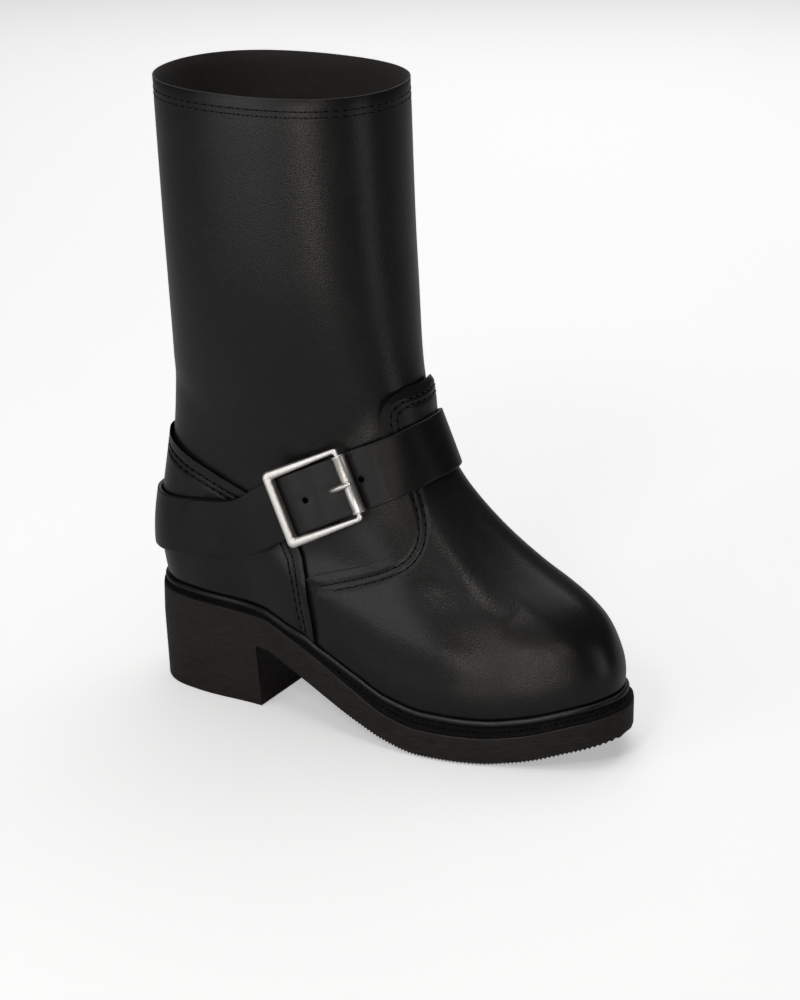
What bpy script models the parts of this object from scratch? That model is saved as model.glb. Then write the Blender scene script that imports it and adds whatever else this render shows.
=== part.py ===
"""Biker boot for the right foot: a pull-on leather boot with a buckled ankle strap.

Lengths are in millimetres: x from the back of the heel to the toe, y from the heel's centre line
(medial side positive, so the buckle's lateral side is negative) and z up from the floor.
place() turns them into metres and puts the middle of the boot over the origin.
"""
from collections import namedtuple
import math

import bmesh
import bpy
import numpy as np
from mathutils import Matrix, Vector

MM = 0.001
GAP = 0.3

# Sole and welt
SOLE_LENGTH = 268.0
BOOT_MIDDLE = 132.0
SOLE_EDGE = 1.0
SOLE_EDGE_FADE = 14.0
HEEL_BREAST_TOP = 71.5
HEEL_BREAST_BASE = 74.0
HEEL_TAPER = 1.9
HEEL_EDGE = 0.8
HEEL_CORNER = 2.0
SOLE_POINTS = 56
WELT_REACH = 0.86
WELT_GAP = 0.55
BEAD_HEIGHT = 5.6
VAMP_OVER_BEAD = 0.9
INSOLE_THICK = 3.0
INSOLE_LEVEL = 0.02
INSOLE_CLEARANCE = 1.2

# Leather
UPPER_WALL = 2.0
UPPER_RINGS = 26
UPPER_POINTS = 38
RING_CROWDING = 1.15
OVERLAY_GAP = 0.5
OVERLAY_THICK = 1.8
TAB_LIFT = 0.7
TAB_RISE = 0.07
TRIM_ROWS = 27
TRIM_COLUMNS = 25
TRIM_DEPTH = 3.0
TRIM_HEIGHT = 8.0
SHAFT_FLATNESS = 0.18

# Strap and buckle
STRAP_THICK = 2.2
STRAP_STEP = 7.0
STRAP_FINE_STEP = 3.8
BUCKLE_TURNS = (-408.0, -458.0)
HOLE_RADIUS = 1.7
HOLE_ANGLES = (-53.0, -67.5, -79.8)
PRONG_HOLE = 1
BUCKLE_ANGLE = -75.5
BUCKLE_FEET = (-18.0, 16.0)
BUCKLE_LEVELS = 0.06
BUCKLE_SEARCH = 26.0
BUCKLE_TILT = 5.6
BUCKLE_ROLL = 4.0
BUCKLE_RAISE = 3.0
BUCKLE_LENGTH = 45.0
BUCKLE_SWEEP = 70.0
STRAIGHT_RUN = 24.0
STRAIGHT_END = 58.0
BUCKLE_BAR = 3.6
BUCKLE_CLEARANCE = 0.75
BUCKLE_CORNER = 2.6
BUCKLE_INNER_CORNER = 0.8
FRAME_SWELL = 1.08
MIDDLE_BAR_RADIUS = 1.2
AXLE_THICK = 2.4
ROLLER_RADIUS = 2.7
ROLLER_BORE = 1.7
ROLLER_LENGTH = 30.0
PRONG_RADIUS = 1.1
PRONG_HOOK = 1.2
PRONG_REST = 7.0
PRONG_REACH = 3.4
PRONG_BOW = 0.3
PRONG_DROP = 0.9

# Half widths of the outsole's outline at stations along its length
PlanRow = namedtuple("PlanRow", "x lateral medial")
PLAN = (
    PlanRow(12, 25.0, 25.0),
    PlanRow(30, 31.7, 31.2),
    PlanRow(74, 34.9, 33.6),
    PlanRow(105, 40.3, 35.0),
    PlanRow(140, 46.6, 40.5),
    PlanRow(170, 49.5, 46.5),
    PlanRow(195, 47.6, 49.8),
    PlanRow(220, 39.5, 47.0),
    PlanRow(245, 28.8, 37.2),
    PlanRow(260, 18.2, 24.0),
)
PLAN_HEEL_HALF = 34.9
PLAN_BALL_HALF = 49.5
PLAN_WIDENING = (0.27, 0.64)
RING_WIDENING = (0.20, 0.62)
HEEL_BLUNTNESS = 1.1
TOE_BLUNTNESS = 0.97

# Section of the welt: a ledge on the outsole and a bead against the upper. Each corner is given by where
# it starts, how far out it lies from there and its height over the outsole
WeltRow = namedtuple("WeltRow", "start out height")
WELT_SECTION = (
    WeltRow("foot", 0.0, 0.45),
    WeltRow("ledge", 0.0, 0.45),
    WeltRow("ledge", -0.4, 2.4),
    WeltRow("foot", 3.2, 2.6),
    WeltRow("foot", 3.3, 4.1),
    WeltRow("foot", 2.5, 5.4),
    WeltRow("neck", 0.5, 5.6),
    WeltRow("neck", 0.0, 4.8),
)

# Height of the outsole's underside over the floor, and the outsole's thickness there
ProfileRow = namedtuple("ProfileRow", "x under thick")
PROFILE = (
    ProfileRow(0, 35.9, 16.4),
    ProfileRow(74, 34.1, 16.4),
    ProfileRow(95, 27.0, 17.0),
    ProfileRow(115, 18.8, 17.5),
    ProfileRow(135, 10.6, 16.8),
    ProfileRow(155, 3.7, 15.0),
    ProfileRow(176, 0.0, 14.8),
    ProfileRow(206, 0.0, 14.8),
    ProfileRow(225, 2.2, 15.0),
    ProfileRow(250, 8.6, 15.2),
    ProfileRow(268, 13.2, 15.2),
)

# Sections of the upper from the feather line to the collar. Each is a closed ring that leans from its
# back point to its front point. foot is the share of the sole's outline in its plan against a plain
# oval, and follow is how far it dips with the arch.
RingRow = namedtuple("RingRow", "back_x back_z front_x front_z heel_half ball_half foot follow")
RINGS = (
    RingRow(4.5, 52.8, 260.5, 27.3, 30.0, 43.0, 1.00, 1.00),
    RingRow(3.0, 61.0, 262.5, 39.5, 31.6, 44.6, 1.00, 0.96),
    RingRow(1.7, 69.0, 260.5, 52.6, 32.8, 44.2, 1.00, 0.86),
    RingRow(1.0, 77.0, 252.5, 66.0, 33.4, 42.0, 0.97, 0.66),
    RingRow(1.0, 84.0, 240.0, 77.0, 33.4, 38.8, 0.92, 0.42),
    RingRow(1.5, 92.0, 222.0, 87.0, 33.3, 35.7, 0.82, 0.22),
    RingRow(2.7, 102.0, 202.0, 99.5, 33.2, 34.5, 0.65, 0.08),
    RingRow(4.3, 115.0, 183.0, 115.0, 32.8, 33.7, 0.45, 0.0),
    RingRow(6.5, 131.0, 166.5, 133.5, 32.8, 33.7, 0.25, 0.0),
    RingRow(8.5, 149.0, 155.5, 155.5, 34.6, 35.8, 0.10, 0.0),
    RingRow(9.8, 170.0, 148.5, 179.5, 38.8, 39.8, 0.0, 0.0),
    RingRow(10.0, 195.0, 145.0, 203.0, 43.4, 44.0, 0.0, 0.0),
    RingRow(9.5, 225.0, 142.5, 230.0, 47.5, 47.5, 0.0, 0.0),
    RingRow(8.0, 260.0, 140.0, 262.0, 49.5, 49.5, 0.0, 0.0),
    RingRow(5.0, 328.0, 136.5, 330.0, 52.0, 52.0, 0.0, 0.0),
)

# Cut edges of the overlays on the upper: level up the rings, and half of the angle that is covered
EdgeRow = namedtuple("EdgeRow", "level half_angle")
VAMP_EDGE = (
    EdgeRow(0.050, 99.2),
    EdgeRow(0.230, 98.3),
    EdgeRow(0.272, 96.8),
    EdgeRow(0.324, 88.0),
    EdgeRow(0.365, 78.0),
    EdgeRow(0.402, 67.0),
    EdgeRow(0.439, 56.0),
    EdgeRow(0.486, 47.0),
    EdgeRow(0.543, 40.4),
    EdgeRow(0.610, 36.5),
    EdgeRow(0.675, 35.0),
    EdgeRow(0.700, 30.5),
    EdgeRow(0.715, 22.0),
    EdgeRow(0.722, 12.0),
)
COUNTER_EDGE = (
    EdgeRow(0.050, 80.5),
    EdgeRow(0.170, 80.5),
    EdgeRow(0.230, 81.3),
    EdgeRow(0.300, 82.8),
    EdgeRow(0.366, 85.0),
    EdgeRow(0.440, 86.0),
    EdgeRow(0.475, 83.0),
    EdgeRow(0.513, 74.0),
    EdgeRow(0.545, 58.0),
    EdgeRow(0.580, 32.0),
    EdgeRow(0.598, 12.0),
)

# Middle line of the strap on the upper and its width, the same on both sides
StrapRow = namedtuple("StrapRow", "angle level width")
STRAP_LINE = (
    StrapRow(0, 0.622, 31.0),
    StrapRow(15, 0.619, 31.0),
    StrapRow(36, 0.602, 31.0),
    StrapRow(57, 0.572, 31.0),
    StrapRow(75, 0.527, 31.0),
    StrapRow(96, 0.470, 31.0),
    StrapRow(110, 0.418, 30.2),
    StrapRow(124, 0.387, 29.6),
    StrapRow(150, 0.347, 29.4),
    StrapRow(180, 0.333, 29.4),
)
STRAP_WIDEST = max(row.width for row in STRAP_LINE)

# Height of the strap's inner face over the upper along its whole run. The turn starts at the middle bar
# of the buckle, goes back round the heel, the medial side and the front, and through the buckle.
RunRow = namedtuple("RunRow", "turn lift")
STRAP_RUN = (
    RunRow(-79.5, 0.9),
    RunRow(-85.0, 1.1),
    RunRow(-92.0, 3.0),
    RunRow(-268.0, 3.0),
    RunRow(-276.0, 0.8),
    RunRow(-306.0, 0.8),
    RunRow(-314.0, 2.7),
    RunRow(-406.0, 2.7),
    RunRow(-413.0, 0.8),
    RunRow(-419.0, 0.7),
    RunRow(-427.0, 3.0),
    RunRow(-435.5, 5.3),
    RunRow(-442.0, 5.5),
    RunRow(-497.0, 5.7),
)
STRAP_LEVELS = (0.2, 0.8)
STRAP_TIP = 9.0
TIP_ROUNDNESS = 0.8
STRAP_SHARES = np.array((-1.0, -0.86, 0.0, 0.86, 1.0))
STRAP_ROUNDING = np.array((0.35, 0.0, 0.0, 0.0, 0.35))

Finish = namedtuple("Finish", "colour roughness metallic")
BLACK_LEATHER = Finish((0.016, 0.015, 0.015), 0.46, 0.0)
STRAP_LEATHER = Finish((0.012, 0.0115, 0.011), 0.5, 0.0)
SOLE_RUBBER = Finish((0.017, 0.015, 0.014), 0.72, 0.0)
WELT_LEATHER = Finish((0.010, 0.010, 0.010), 0.55, 0.0)
INSOLE_LEATHER = Finish((0.022, 0.019, 0.017), 0.7, 0.0)
BRUSHED_NICKEL = Finish((0.62, 0.60, 0.57), 0.28, 1.0)


def natural_spline(knots, rows):
    """Smooth curve through rows of values, one row at each knot."""
    knots = np.asarray(knots, float)
    rows = np.asarray(rows, float)
    step = np.diff(knots)[:, None]
    slope = np.diff(rows, axis=0) / step
    count = len(knots)
    matrix = np.eye(count)
    bend = np.zeros_like(rows)
    for i in range(1, count - 1):
        matrix[i, i - 1:i + 2] = step[i - 1, 0], 2 * (step[i - 1, 0] + step[i, 0]), step[i, 0]
        bend[i] = 6 * (slope[i] - slope[i - 1])
    bend = np.linalg.solve(matrix, bend)

    def at(value):
        i = np.clip(np.searchsorted(knots, value) - 1, 0, count - 2)
        run = (value - knots[i])[..., None]
        first = slope[i] - step[i] * (2 * bend[i] + bend[i + 1]) / 6
        return rows[i] + run * (first + run * (bend[i] / 2 + run * (bend[i + 1] - bend[i]) / (6 * step[i])))
    return at


def steady_curve(knots, values):
    """Curve through values that never swings past them, so level stretches stay level."""
    knots = np.asarray(knots, float)
    values = np.asarray(values, float)
    step = np.diff(knots)
    slope = np.diff(values) / step
    tangent = np.concatenate(([slope[0]], np.zeros(len(knots) - 2), [slope[-1]]))
    for i in range(1, len(knots) - 1):
        if slope[i - 1] * slope[i] > 0:
            before = 2 * step[i] + step[i - 1]
            after = step[i] + 2 * step[i - 1]
            tangent[i] = (before + after) / (before / slope[i - 1] + after / slope[i])

    def at(value):
        value = np.clip(value, knots[0], knots[-1])
        i = np.clip(np.searchsorted(knots, value) - 1, 0, len(knots) - 2)
        s = (value - knots[i]) / step[i]
        return (values[i] * (1 + 2 * s) * (1 - s) ** 2 + values[i + 1] * s * s * (3 - 2 * s)
                + step[i] * (tangent[i] * s * (1 - s) ** 2 + tangent[i + 1] * s * s * (s - 1)))
    return at


def ease(low, high, value):
    """Smooth step from 0 at low to 1 at high."""
    s = np.clip((value - low) / (high - low), 0, 1)
    return s * s * (3 - 2 * s)


def plan_fullness(halves):
    """How full the sole's outline is against a plain oval, along its length."""
    along = np.array([row.x for row in PLAN]) / SOLE_LENGTH
    full = np.array(halves) / (2 * np.sqrt(along * (1 - along)))
    along = np.concatenate(([0], along, [1]))
    full = np.concatenate(([full[0] * HEEL_BLUNTNESS], full, [full[-1] * TOE_BLUNTNESS]))
    return steady_curve(along, full)


LATERAL_FULLNESS = plan_fullness([row.lateral for row in PLAN])
MEDIAL_FULLNESS = plan_fullness([row.medial for row in PLAN])
SOLE_UNDER = steady_curve([row.x for row in PROFILE], [row.under for row in PROFILE])
SOLE_THICK = steady_curve([row.x for row in PROFILE], [row.thick for row in PROFILE])
RING_AT = natural_spline(np.linspace(0, 1, len(RINGS)), RINGS)
STRAP_LEVEL = steady_curve([row.angle for row in STRAP_LINE], [row.level for row in STRAP_LINE])
STRAP_SPAN = steady_curve([row.angle for row in STRAP_LINE], [row.width for row in STRAP_LINE])
STRAP_LIFT = steady_curve([-row.turn for row in STRAP_RUN], [row.lift for row in STRAP_RUN])


def sole_top(x):
    """Height of the outsole's upper face."""
    return SOLE_UNDER(x) + SOLE_THICK(x)


def along_of(angle):
    """Share of a ring's length, 0 at the back and 1 at the front, at an angle from the front."""
    return (1 + np.cos(angle)) / 2


def fullness(angle):
    """Fullness of the sole's outline on the side that the angle lies on."""
    along = along_of(angle)
    return np.where(np.sin(angle) >= 0, MEDIAL_FULLNESS(along), LATERAL_FULLNESS(along))


def sole_outline(angle, inset=0.0):
    """Point of the outsole's outline, moved inwards by an inset."""
    inset = inset * np.ones_like(angle)
    x = inset + along_of(angle) * (SOLE_LENGTH - 2 * inset)
    y = np.sin(angle) * (fullness(angle) - inset)
    return x, y


def unit(vector):
    """Vector of length 1."""
    return vector / np.linalg.norm(vector, axis=-1, keepdims=True)


def upper_point(level, angle):
    """Point on the upper's outer face: level 0 feather line to 1 collar, angle 0 front, medial positive."""
    level, angle = np.broadcast_arrays(np.asarray(level, float), np.asarray(angle, float))
    ring = RingRow(*np.moveaxis(RING_AT(level), -1, 0))
    foot = np.clip(ring.foot, 0, 1)
    follow = np.clip(ring.follow, 0, 1)
    along = along_of(angle)
    plain = PLAN_HEEL_HALF + (PLAN_BALL_HALF - PLAN_HEEL_HALF) * ease(*PLAN_WIDENING, along)
    oval = 1 + SHAFT_FLATNESS * np.cos(angle) ** 2
    half = ring.heel_half + (ring.ball_half - ring.heel_half) * ease(*RING_WIDENING, along)
    x = ring.back_x + along * (ring.front_x - ring.back_x)
    y = np.sin(angle) * half * (foot * fullness(angle) / plain + (1 - foot) * oval)
    chord = sole_top(ring.back_x) + along * (sole_top(ring.front_x) - sole_top(ring.back_x))
    z = ring.back_z + along * (ring.front_z - ring.back_z) + follow * (sole_top(x) - chord)
    return np.stack((x, y, z), -1)


def upper_normal(level, angle, step=0.002):
    """Outward direction of the upper's face."""
    level = np.clip(level, step, 1 - step)
    across = upper_point(level, angle + step) - upper_point(level, angle - step)
    upward = upper_point(level + step, angle) - upper_point(level - step, angle)
    return unit(np.cross(across, upward))


def off_upper(level, angle, lift):
    """Point that stands off the upper's face by a lift."""
    lift = np.asarray(lift, float) * np.ones(np.broadcast(level, angle).shape)
    return upper_point(level, angle) + lift[..., None] * upper_normal(level, angle)


def place(points):
    """Metres in the boot's frame, from millimetres."""
    return (np.asarray(points, float) - (BOOT_MIDDLE, 0, 0)) * MM


def new_collection(name):
    """Collection linked to the scene."""
    collection = bpy.data.collections.new(name)
    bpy.context.scene.collection.children.link(collection)
    return collection


def finish_material(name, finish):
    """Principled material in a finish."""
    material = bpy.data.materials.new(name)
    material.use_nodes = True
    shader = material.node_tree.nodes["Principled BSDF"]
    shader.inputs["Base Color"].default_value = (*finish.colour, 1.0)
    shader.inputs["Roughness"].default_value = finish.roughness
    shader.inputs["Metallic"].default_value = finish.metallic
    return material


def add_object(name, vertices, faces, material, collection):
    """Object from vertices in metres, with its faces turned outwards where the mesh is closed."""
    mesh = bpy.data.meshes.new(name)
    mesh.from_pydata([tuple(v) for v in vertices], [], faces)
    mesh.validate()
    shape = bmesh.new()
    shape.from_mesh(mesh)
    if all(edge.is_manifold for edge in shape.edges):
        bmesh.ops.recalc_face_normals(shape, faces=shape.faces)
    shape.to_mesh(mesh)
    shape.free()
    mesh.shade_smooth()
    mesh.set_sharp_from_angle(angle=math.radians(40))
    if material:
        mesh.materials.append(material)
    item = bpy.data.objects.new(name, mesh)
    collection.objects.link(item)
    return item


def bridged(rows, width, closed_rows=False):
    """Quads between neighbouring closed loops of a given width."""
    pairs = [(r, (r + 1) % rows) for r in range(rows if closed_rows else rows - 1)]
    return [(a * width + c, a * width + (c + 1) % width, b * width + (c + 1) % width, b * width + c)
            for a, b in pairs for c in range(width)]


def ladder(first, width):
    """Faces across a loop whose points face each other, first with last."""
    return [(first + k, first + k + 1, first + width - 2 - k, first + width - 1 - k)
            for k in range(width // 2 - 1)]


def capped_loft(name, loops, material, collection):
    """Closed solid through loops from its bottom to its top."""
    width = len(loops[0])
    faces = bridged(len(loops), width) + ladder(0, width) + ladder((len(loops) - 1) * width, width)
    return add_object(name, place(np.concatenate(loops)), faces, material, collection)


def ring_loft(name, loops, material, collection):
    """Closed ring-shaped solid: a loop for each corner of its section."""
    faces = bridged(len(loops), len(loops[0]), closed_rows=True)
    return add_object(name, place(np.concatenate(loops)), faces, material, collection)


def sheet(name, grid, material, collection):
    """Open surface through a grid of points whose rows are closed rings."""
    rows, columns = grid.shape[:2]
    return add_object(name, place(grid.reshape(-1, 3)), bridged(rows, columns), material, collection)


def thicken(item, thickness, side):
    """Wall on one side of a sheet: side 1 outwards, -1 inwards."""
    wall = item.modifiers.new("wall", "SOLIDIFY")
    wall.thickness = thickness * MM
    wall.offset = side
    wall.use_even_offset = True


def boolean(item, tool, operation):
    """Boolean of an item with a tool."""
    change = item.modifiers.new(operation.lower(), "BOOLEAN")
    change.object = tool
    change.operation = operation
    change.solver = "EXACT"


def as_cutter(item):
    """Mark an object as a tool that isn't part of the boot."""
    item.hide_render = True
    item.display_type = "WIRE"


def half_step_angles(count):
    """Angles round an outline, in pairs that face each other across it."""
    return 2 * np.pi * (np.arange(count) + 0.5) / count


def build_outsole(material, collection):
    """Outsole: arch, toe spring and an edge that is softened forward of the heel."""
    angle = half_step_angles(SOLE_POINTS)
    loops = []
    for inset, from_top, height in ((SOLE_EDGE, False, 0), (0, False, SOLE_EDGE),
                                    (0, True, -SOLE_EDGE), (SOLE_EDGE, True, 0)):
        x, _ = sole_outline(angle)
        soft = 1.0 if from_top else ease(HEEL_BREAST_BASE, HEEL_BREAST_BASE + SOLE_EDGE_FADE, x)
        x, y = sole_outline(angle, inset * soft)
        base = sole_top(x) if from_top else SOLE_UNDER(x)
        loops.append(np.stack((x, y, base + height), -1))
    return capped_loft("outsole", loops, material, collection)


def heel_loop(inset, breast, height):
    """Outline of the heel block behind its breast."""
    angle = half_step_angles(SOLE_POINTS)
    x, y = sole_outline(angle, inset)
    behind = np.flatnonzero(x < breast - HEEL_CORNER)
    corner = math.acos(2 * (breast - inset) / (SOLE_LENGTH - 2 * inset) - 1)
    corners = np.array((corner, 2 * np.pi - corner))
    corner_x, corner_y = sole_outline(corners, inset)
    x = np.concatenate((corner_x[:1], x[behind], corner_x[1:]))
    y = np.concatenate((corner_y[:1], y[behind], corner_y[1:]))
    z = SOLE_UNDER(x) - GAP if height is None else np.full_like(x, height)
    return np.stack((x, y, z), -1)


def build_heel(material, collection):
    """Heel block: flush with the outsole above, a little smaller on the floor."""
    loops = [heel_loop(HEEL_TAPER + HEEL_EDGE, HEEL_BREAST_BASE - HEEL_EDGE, 0.0),
             heel_loop(HEEL_TAPER, HEEL_BREAST_BASE, HEEL_EDGE),
             heel_loop(0.0, HEEL_BREAST_TOP, None)]
    return capped_loft("heel", loops, material, collection)


def build_welt(material, collection):
    """Storm welt: a flat ledge to the outsole's edge and a round bead against the upper's own points."""
    angle = np.pi * np.arange(2 * UPPER_POINTS) / UPPER_POINTS
    foot = off_upper(0.0, angle, WELT_GAP)
    neck = off_upper(level_over_sole(angle, BEAD_HEIGHT), angle, WELT_GAP)
    rim = np.stack((*sole_outline(angle), np.zeros_like(angle)), -1)
    outward = (rim - foot) * (1, 1, 0)
    reach = np.linalg.norm(outward, axis=-1, keepdims=True)
    outward /= reach

    start = {"foot": foot, "ledge": foot + outward * reach * WELT_REACH, "neck": neck}
    loops = []
    for row in WELT_SECTION:
        point = start[row.start] + outward * row.out
        point[:, 2] = sole_top(point[:, 0]) + row.height
        loops.append(point)
    return ring_loft("welt", loops, material, collection)


def build_insole(material, collection):
    """Insole board inside the foot of the upper's wall, with its points over the outsole's."""
    inset = UPPER_WALL + INSOLE_CLEARANCE
    stations, _ = sole_outline(half_step_angles(SOLE_POINTS)[:SOLE_POINTS // 2], SOLE_EDGE)
    turns = np.linspace(0, np.pi, 181)
    rim = off_upper(0.0, turns, -inset)[:, 0]
    stations = stations[(stations > rim.min() + inset) & (stations < rim.max() - inset)]
    loops = []
    for level, height in ((0.0, GAP), (INSOLE_LEVEL, GAP + INSOLE_THICK)):
        sides = []
        for side in (1, -1):
            edge = off_upper(level, side * turns, -inset)
            sides.append(np.interp(stations, edge[::-1, 0], edge[::-1, 1]))
        x = np.concatenate((stations, stations[::-1]))
        y = np.concatenate((sides[0], sides[1][::-1]))
        loops.append(np.stack((x, y, sole_top(x) + height), -1))
    return capped_loft("insole", loops, material, collection)


def upper_angles():
    """Angles of the points round each ring of the upper."""
    return 2 * np.pi * np.arange(UPPER_POINTS)[None, :] / UPPER_POINTS


def upper_levels():
    """Levels of the upper's rings, closer together round the foot."""
    return np.linspace(0, 1, UPPER_RINGS)[:, None] ** RING_CROWDING


def build_upper(material, collection):
    """Upper: shaft and foot in one wall, open at the collar and underneath."""
    upper = sheet("upper", upper_point(upper_levels(), upper_angles()), material, collection)
    thicken(upper, UPPER_WALL, -1)
    return upper


def level_over_sole(angle, height):
    """Level at which the upper's face stands a height over the outsole."""
    levels = np.linspace(0, 0.1, 41)
    faces = [upper_point(levels, turn) for turn in angle]
    return np.array([np.interp(height, face[:, 2] - sole_top(face[:, 0]), levels) for face in faces])


def trim_tool(name, edge, centre, cutters):
    """Thick patch inside a cut edge, which trims a skin on the upper."""
    half = steady_curve([row.level for row in edge], [row.half_angle for row in edge])
    level = np.linspace(edge[0].level, edge[-1].level, TRIM_ROWS)[:, None]
    angle = np.radians(centre + np.linspace(-1, 1, TRIM_COLUMNS)[None, :] * half(level))
    level = level * np.ones_like(angle)
    level[0] = level_over_sole(angle[0], BEAD_HEIGHT + VAMP_OVER_BEAD)
    low = off_upper(level, angle, -TRIM_DEPTH)
    high = off_upper(level, angle, TRIM_HEIGHT)
    loops = [np.concatenate((under, over[::-1])) for under, over in zip(low, high)]
    tool = capped_loft(name, loops, None, cutters)
    as_cutter(tool)
    return tool


def build_overlay(name, edge, centre, lift, material, collection, cutters):
    """Leather on the upper: the upper's own facets moved out and trimmed to a cut edge about a centre."""
    levels = upper_levels()
    levels = levels[:1 + np.searchsorted(levels[:, 0], edge[-1].level)]
    inner = off_upper(levels, upper_angles(), lift(levels))
    outer = off_upper(levels, upper_angles(), lift(levels) + OVERLAY_THICK)
    skin = ring_loft(name, [*outer, *inner[::-1]], material, collection)
    boolean(skin, trim_tool(name + "_trim", edge, centre, cutters), "INTERSECT")
    return skin


def build_vamp(material, collection, cutters):
    """Vamp with its tongue tab, which stands a little off the shaft at the top."""
    top = VAMP_EDGE[-1].level

    def lift(level):
        return OVERLAY_GAP + TAB_LIFT * ease(top - TAB_RISE, top, level)
    return build_overlay("vamp", VAMP_EDGE, 0.0, lift, material, collection, cutters)


def build_counter(material, collection, cutters):
    """Heel counter."""
    def lift(level):
        return np.full_like(level, OVERLAY_GAP)
    return build_overlay("counter", COUNTER_EDGE, 180.0, lift, material, collection, cutters)


class Buckle:
    """Plane that the buckle and the strap's straight stretch share, and the heights of its bars."""

    def __init__(self):
        angle = math.radians(BUCKLE_ANGLE)
        level = STRAP_LEVEL(abs(BUCKLE_ANGLE))
        near = np.radians(BUCKLE_ANGLE + np.array(BUCKLE_FEET))
        ends = upper_point(STRAP_LEVEL(np.abs(np.degrees(near))), near)
        edges = upper_point(level + np.array((-BUCKLE_LEVELS, BUCKLE_LEVELS)), angle)
        chord = unit(ends[1] - ends[0])
        out = unit(np.cross(chord, edges[1] - edges[0]))
        roll = math.radians(BUCKLE_ROLL)
        self.out = math.cos(roll) * out + math.sin(roll) * np.cross(out, chord)
        tilt = math.radians(BUCKLE_TILT)
        self.along = math.cos(tilt) * chord - math.sin(tilt) * np.cross(self.out, chord)
        self.across = np.cross(self.out, self.along)
        self.origin = upper_point(level, angle) + BUCKLE_RAISE * self.across
        self.bar_along = (BUCKLE_LENGTH - BUCKLE_BAR) / 2
        runs = BUCKLE_ANGLE - 360 + np.linspace(-BUCKLE_SEARCH, BUCKLE_SEARCH, 79)
        inner = [strap_section(turn, self, STRAP_SHARES)[0] for turn in runs]
        spots = np.array([self.local(points).max(axis=0) for points in inner])
        self.strap_along, self.strap_out = spots[:, 0], spots[:, 2]
        over = STRAP_THICK + GAP
        self.rear = self.strap_near(-self.bar_along).max() + over + BUCKLE_BAR * FRAME_SWELL / 2
        self.front = self.strap_near(self.bar_along).max() + over + ROLLER_RADIUS
        self.bar = self.strap_near(0.0).min() - GAP - MIDDLE_BAR_RADIUS

    def strap_near(self, along):
        """Heights of the strap's inner face close to a place along the buckle."""
        return self.strap_out[np.abs(self.strap_along - along) < BUCKLE_BAR / 2 + GAP]

    def local(self, point):
        """Along, across and out coordinates of a point."""
        return (point - self.origin) @ np.stack((self.along, self.across, self.out), -1)

    def world(self, along, across, out):
        """Point from along, across and out coordinates."""
        along, across, out = np.broadcast_arrays(along, across, out)
        return (self.origin + along[..., None] * self.along + across[..., None] * self.across
                + out[..., None] * self.out)

    def rise(self, along):
        """Height of the frame's middle plane, which tilts over the doubled strap."""
        return self.rear + (along / self.bar_along + 1) / 2 * (self.front - self.rear)


def strap_turns():
    """Turn angles along the strap, closer where it bends through the buckle."""
    turns = [STRAP_RUN[0].turn]
    while turns[-1] > STRAP_RUN[-1].turn:
        in_buckle = BUCKLE_TURNS[0] > turns[-1] > BUCKLE_TURNS[1]
        turns.append(turns[-1] - (STRAP_FINE_STEP if in_buckle else STRAP_STEP))
    turns[-1] = STRAP_RUN[-1].turn
    return np.array(turns)


def strap_section(turn, buckle, shares):
    """Inner and outer points across the strap at a turn."""
    angle = (turn + 180) % 360 - 180
    radians = math.radians(angle)
    levels = np.linspace(*STRAP_LEVELS, 241)
    meridian = upper_point(levels, radians)
    run = np.concatenate(([0], np.cumsum(np.linalg.norm(np.diff(meridian, axis=0), axis=1))))
    middle = np.interp(STRAP_LEVEL(abs(angle)), levels, run)
    tip = np.clip((STRAP_RUN[-1].turn + STRAP_TIP - turn) / STRAP_TIP, 0, 1)
    half = STRAP_SPAN(abs(angle)) / 2 * math.sqrt(1 - TIP_ROUNDNESS * tip ** 2)
    level = np.interp(middle + shares * half, run, levels)
    lift = STRAP_LIFT(-turn)
    normal = upper_normal(level, np.full_like(level, radians))
    inner = off_upper(level, np.full_like(level, radians), lift)
    chord = inner[:1] + (inner[-1:] - inner[:1]) * ((shares + 1) / 2)[:, None]
    slack = np.maximum(((chord - inner) * normal).sum(axis=1), 0)
    inner = inner + slack[:, None] * normal
    spot = buckle.local(inner)
    near = abs(angle - BUCKLE_ANGLE) < BUCKLE_SWEEP
    straight = ease(STRAIGHT_END, STRAIGHT_RUN, abs(spot[:, 0].mean())) if near else 0.0
    flat = buckle.world(spot[:, 0].mean(), shares * half, spot[:, 2].max())
    inner = inner + straight * (flat - inner)
    normal = normal + straight * (buckle.out - normal)
    return inner, normal


def strap_spot(turn, buckle):
    """Middle of the strap's inner face at a turn, and the direction square to it."""
    inner, normal = strap_section(turn, buckle, STRAP_SHARES)
    before, _ = strap_section(turn + 1, buckle, STRAP_SHARES)
    after, _ = strap_section(turn - 1, buckle, STRAP_SHARES)
    run = unit(after[2] - before[2])
    return inner[2], unit(normal[2] - run * (normal[2] @ run))


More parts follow.
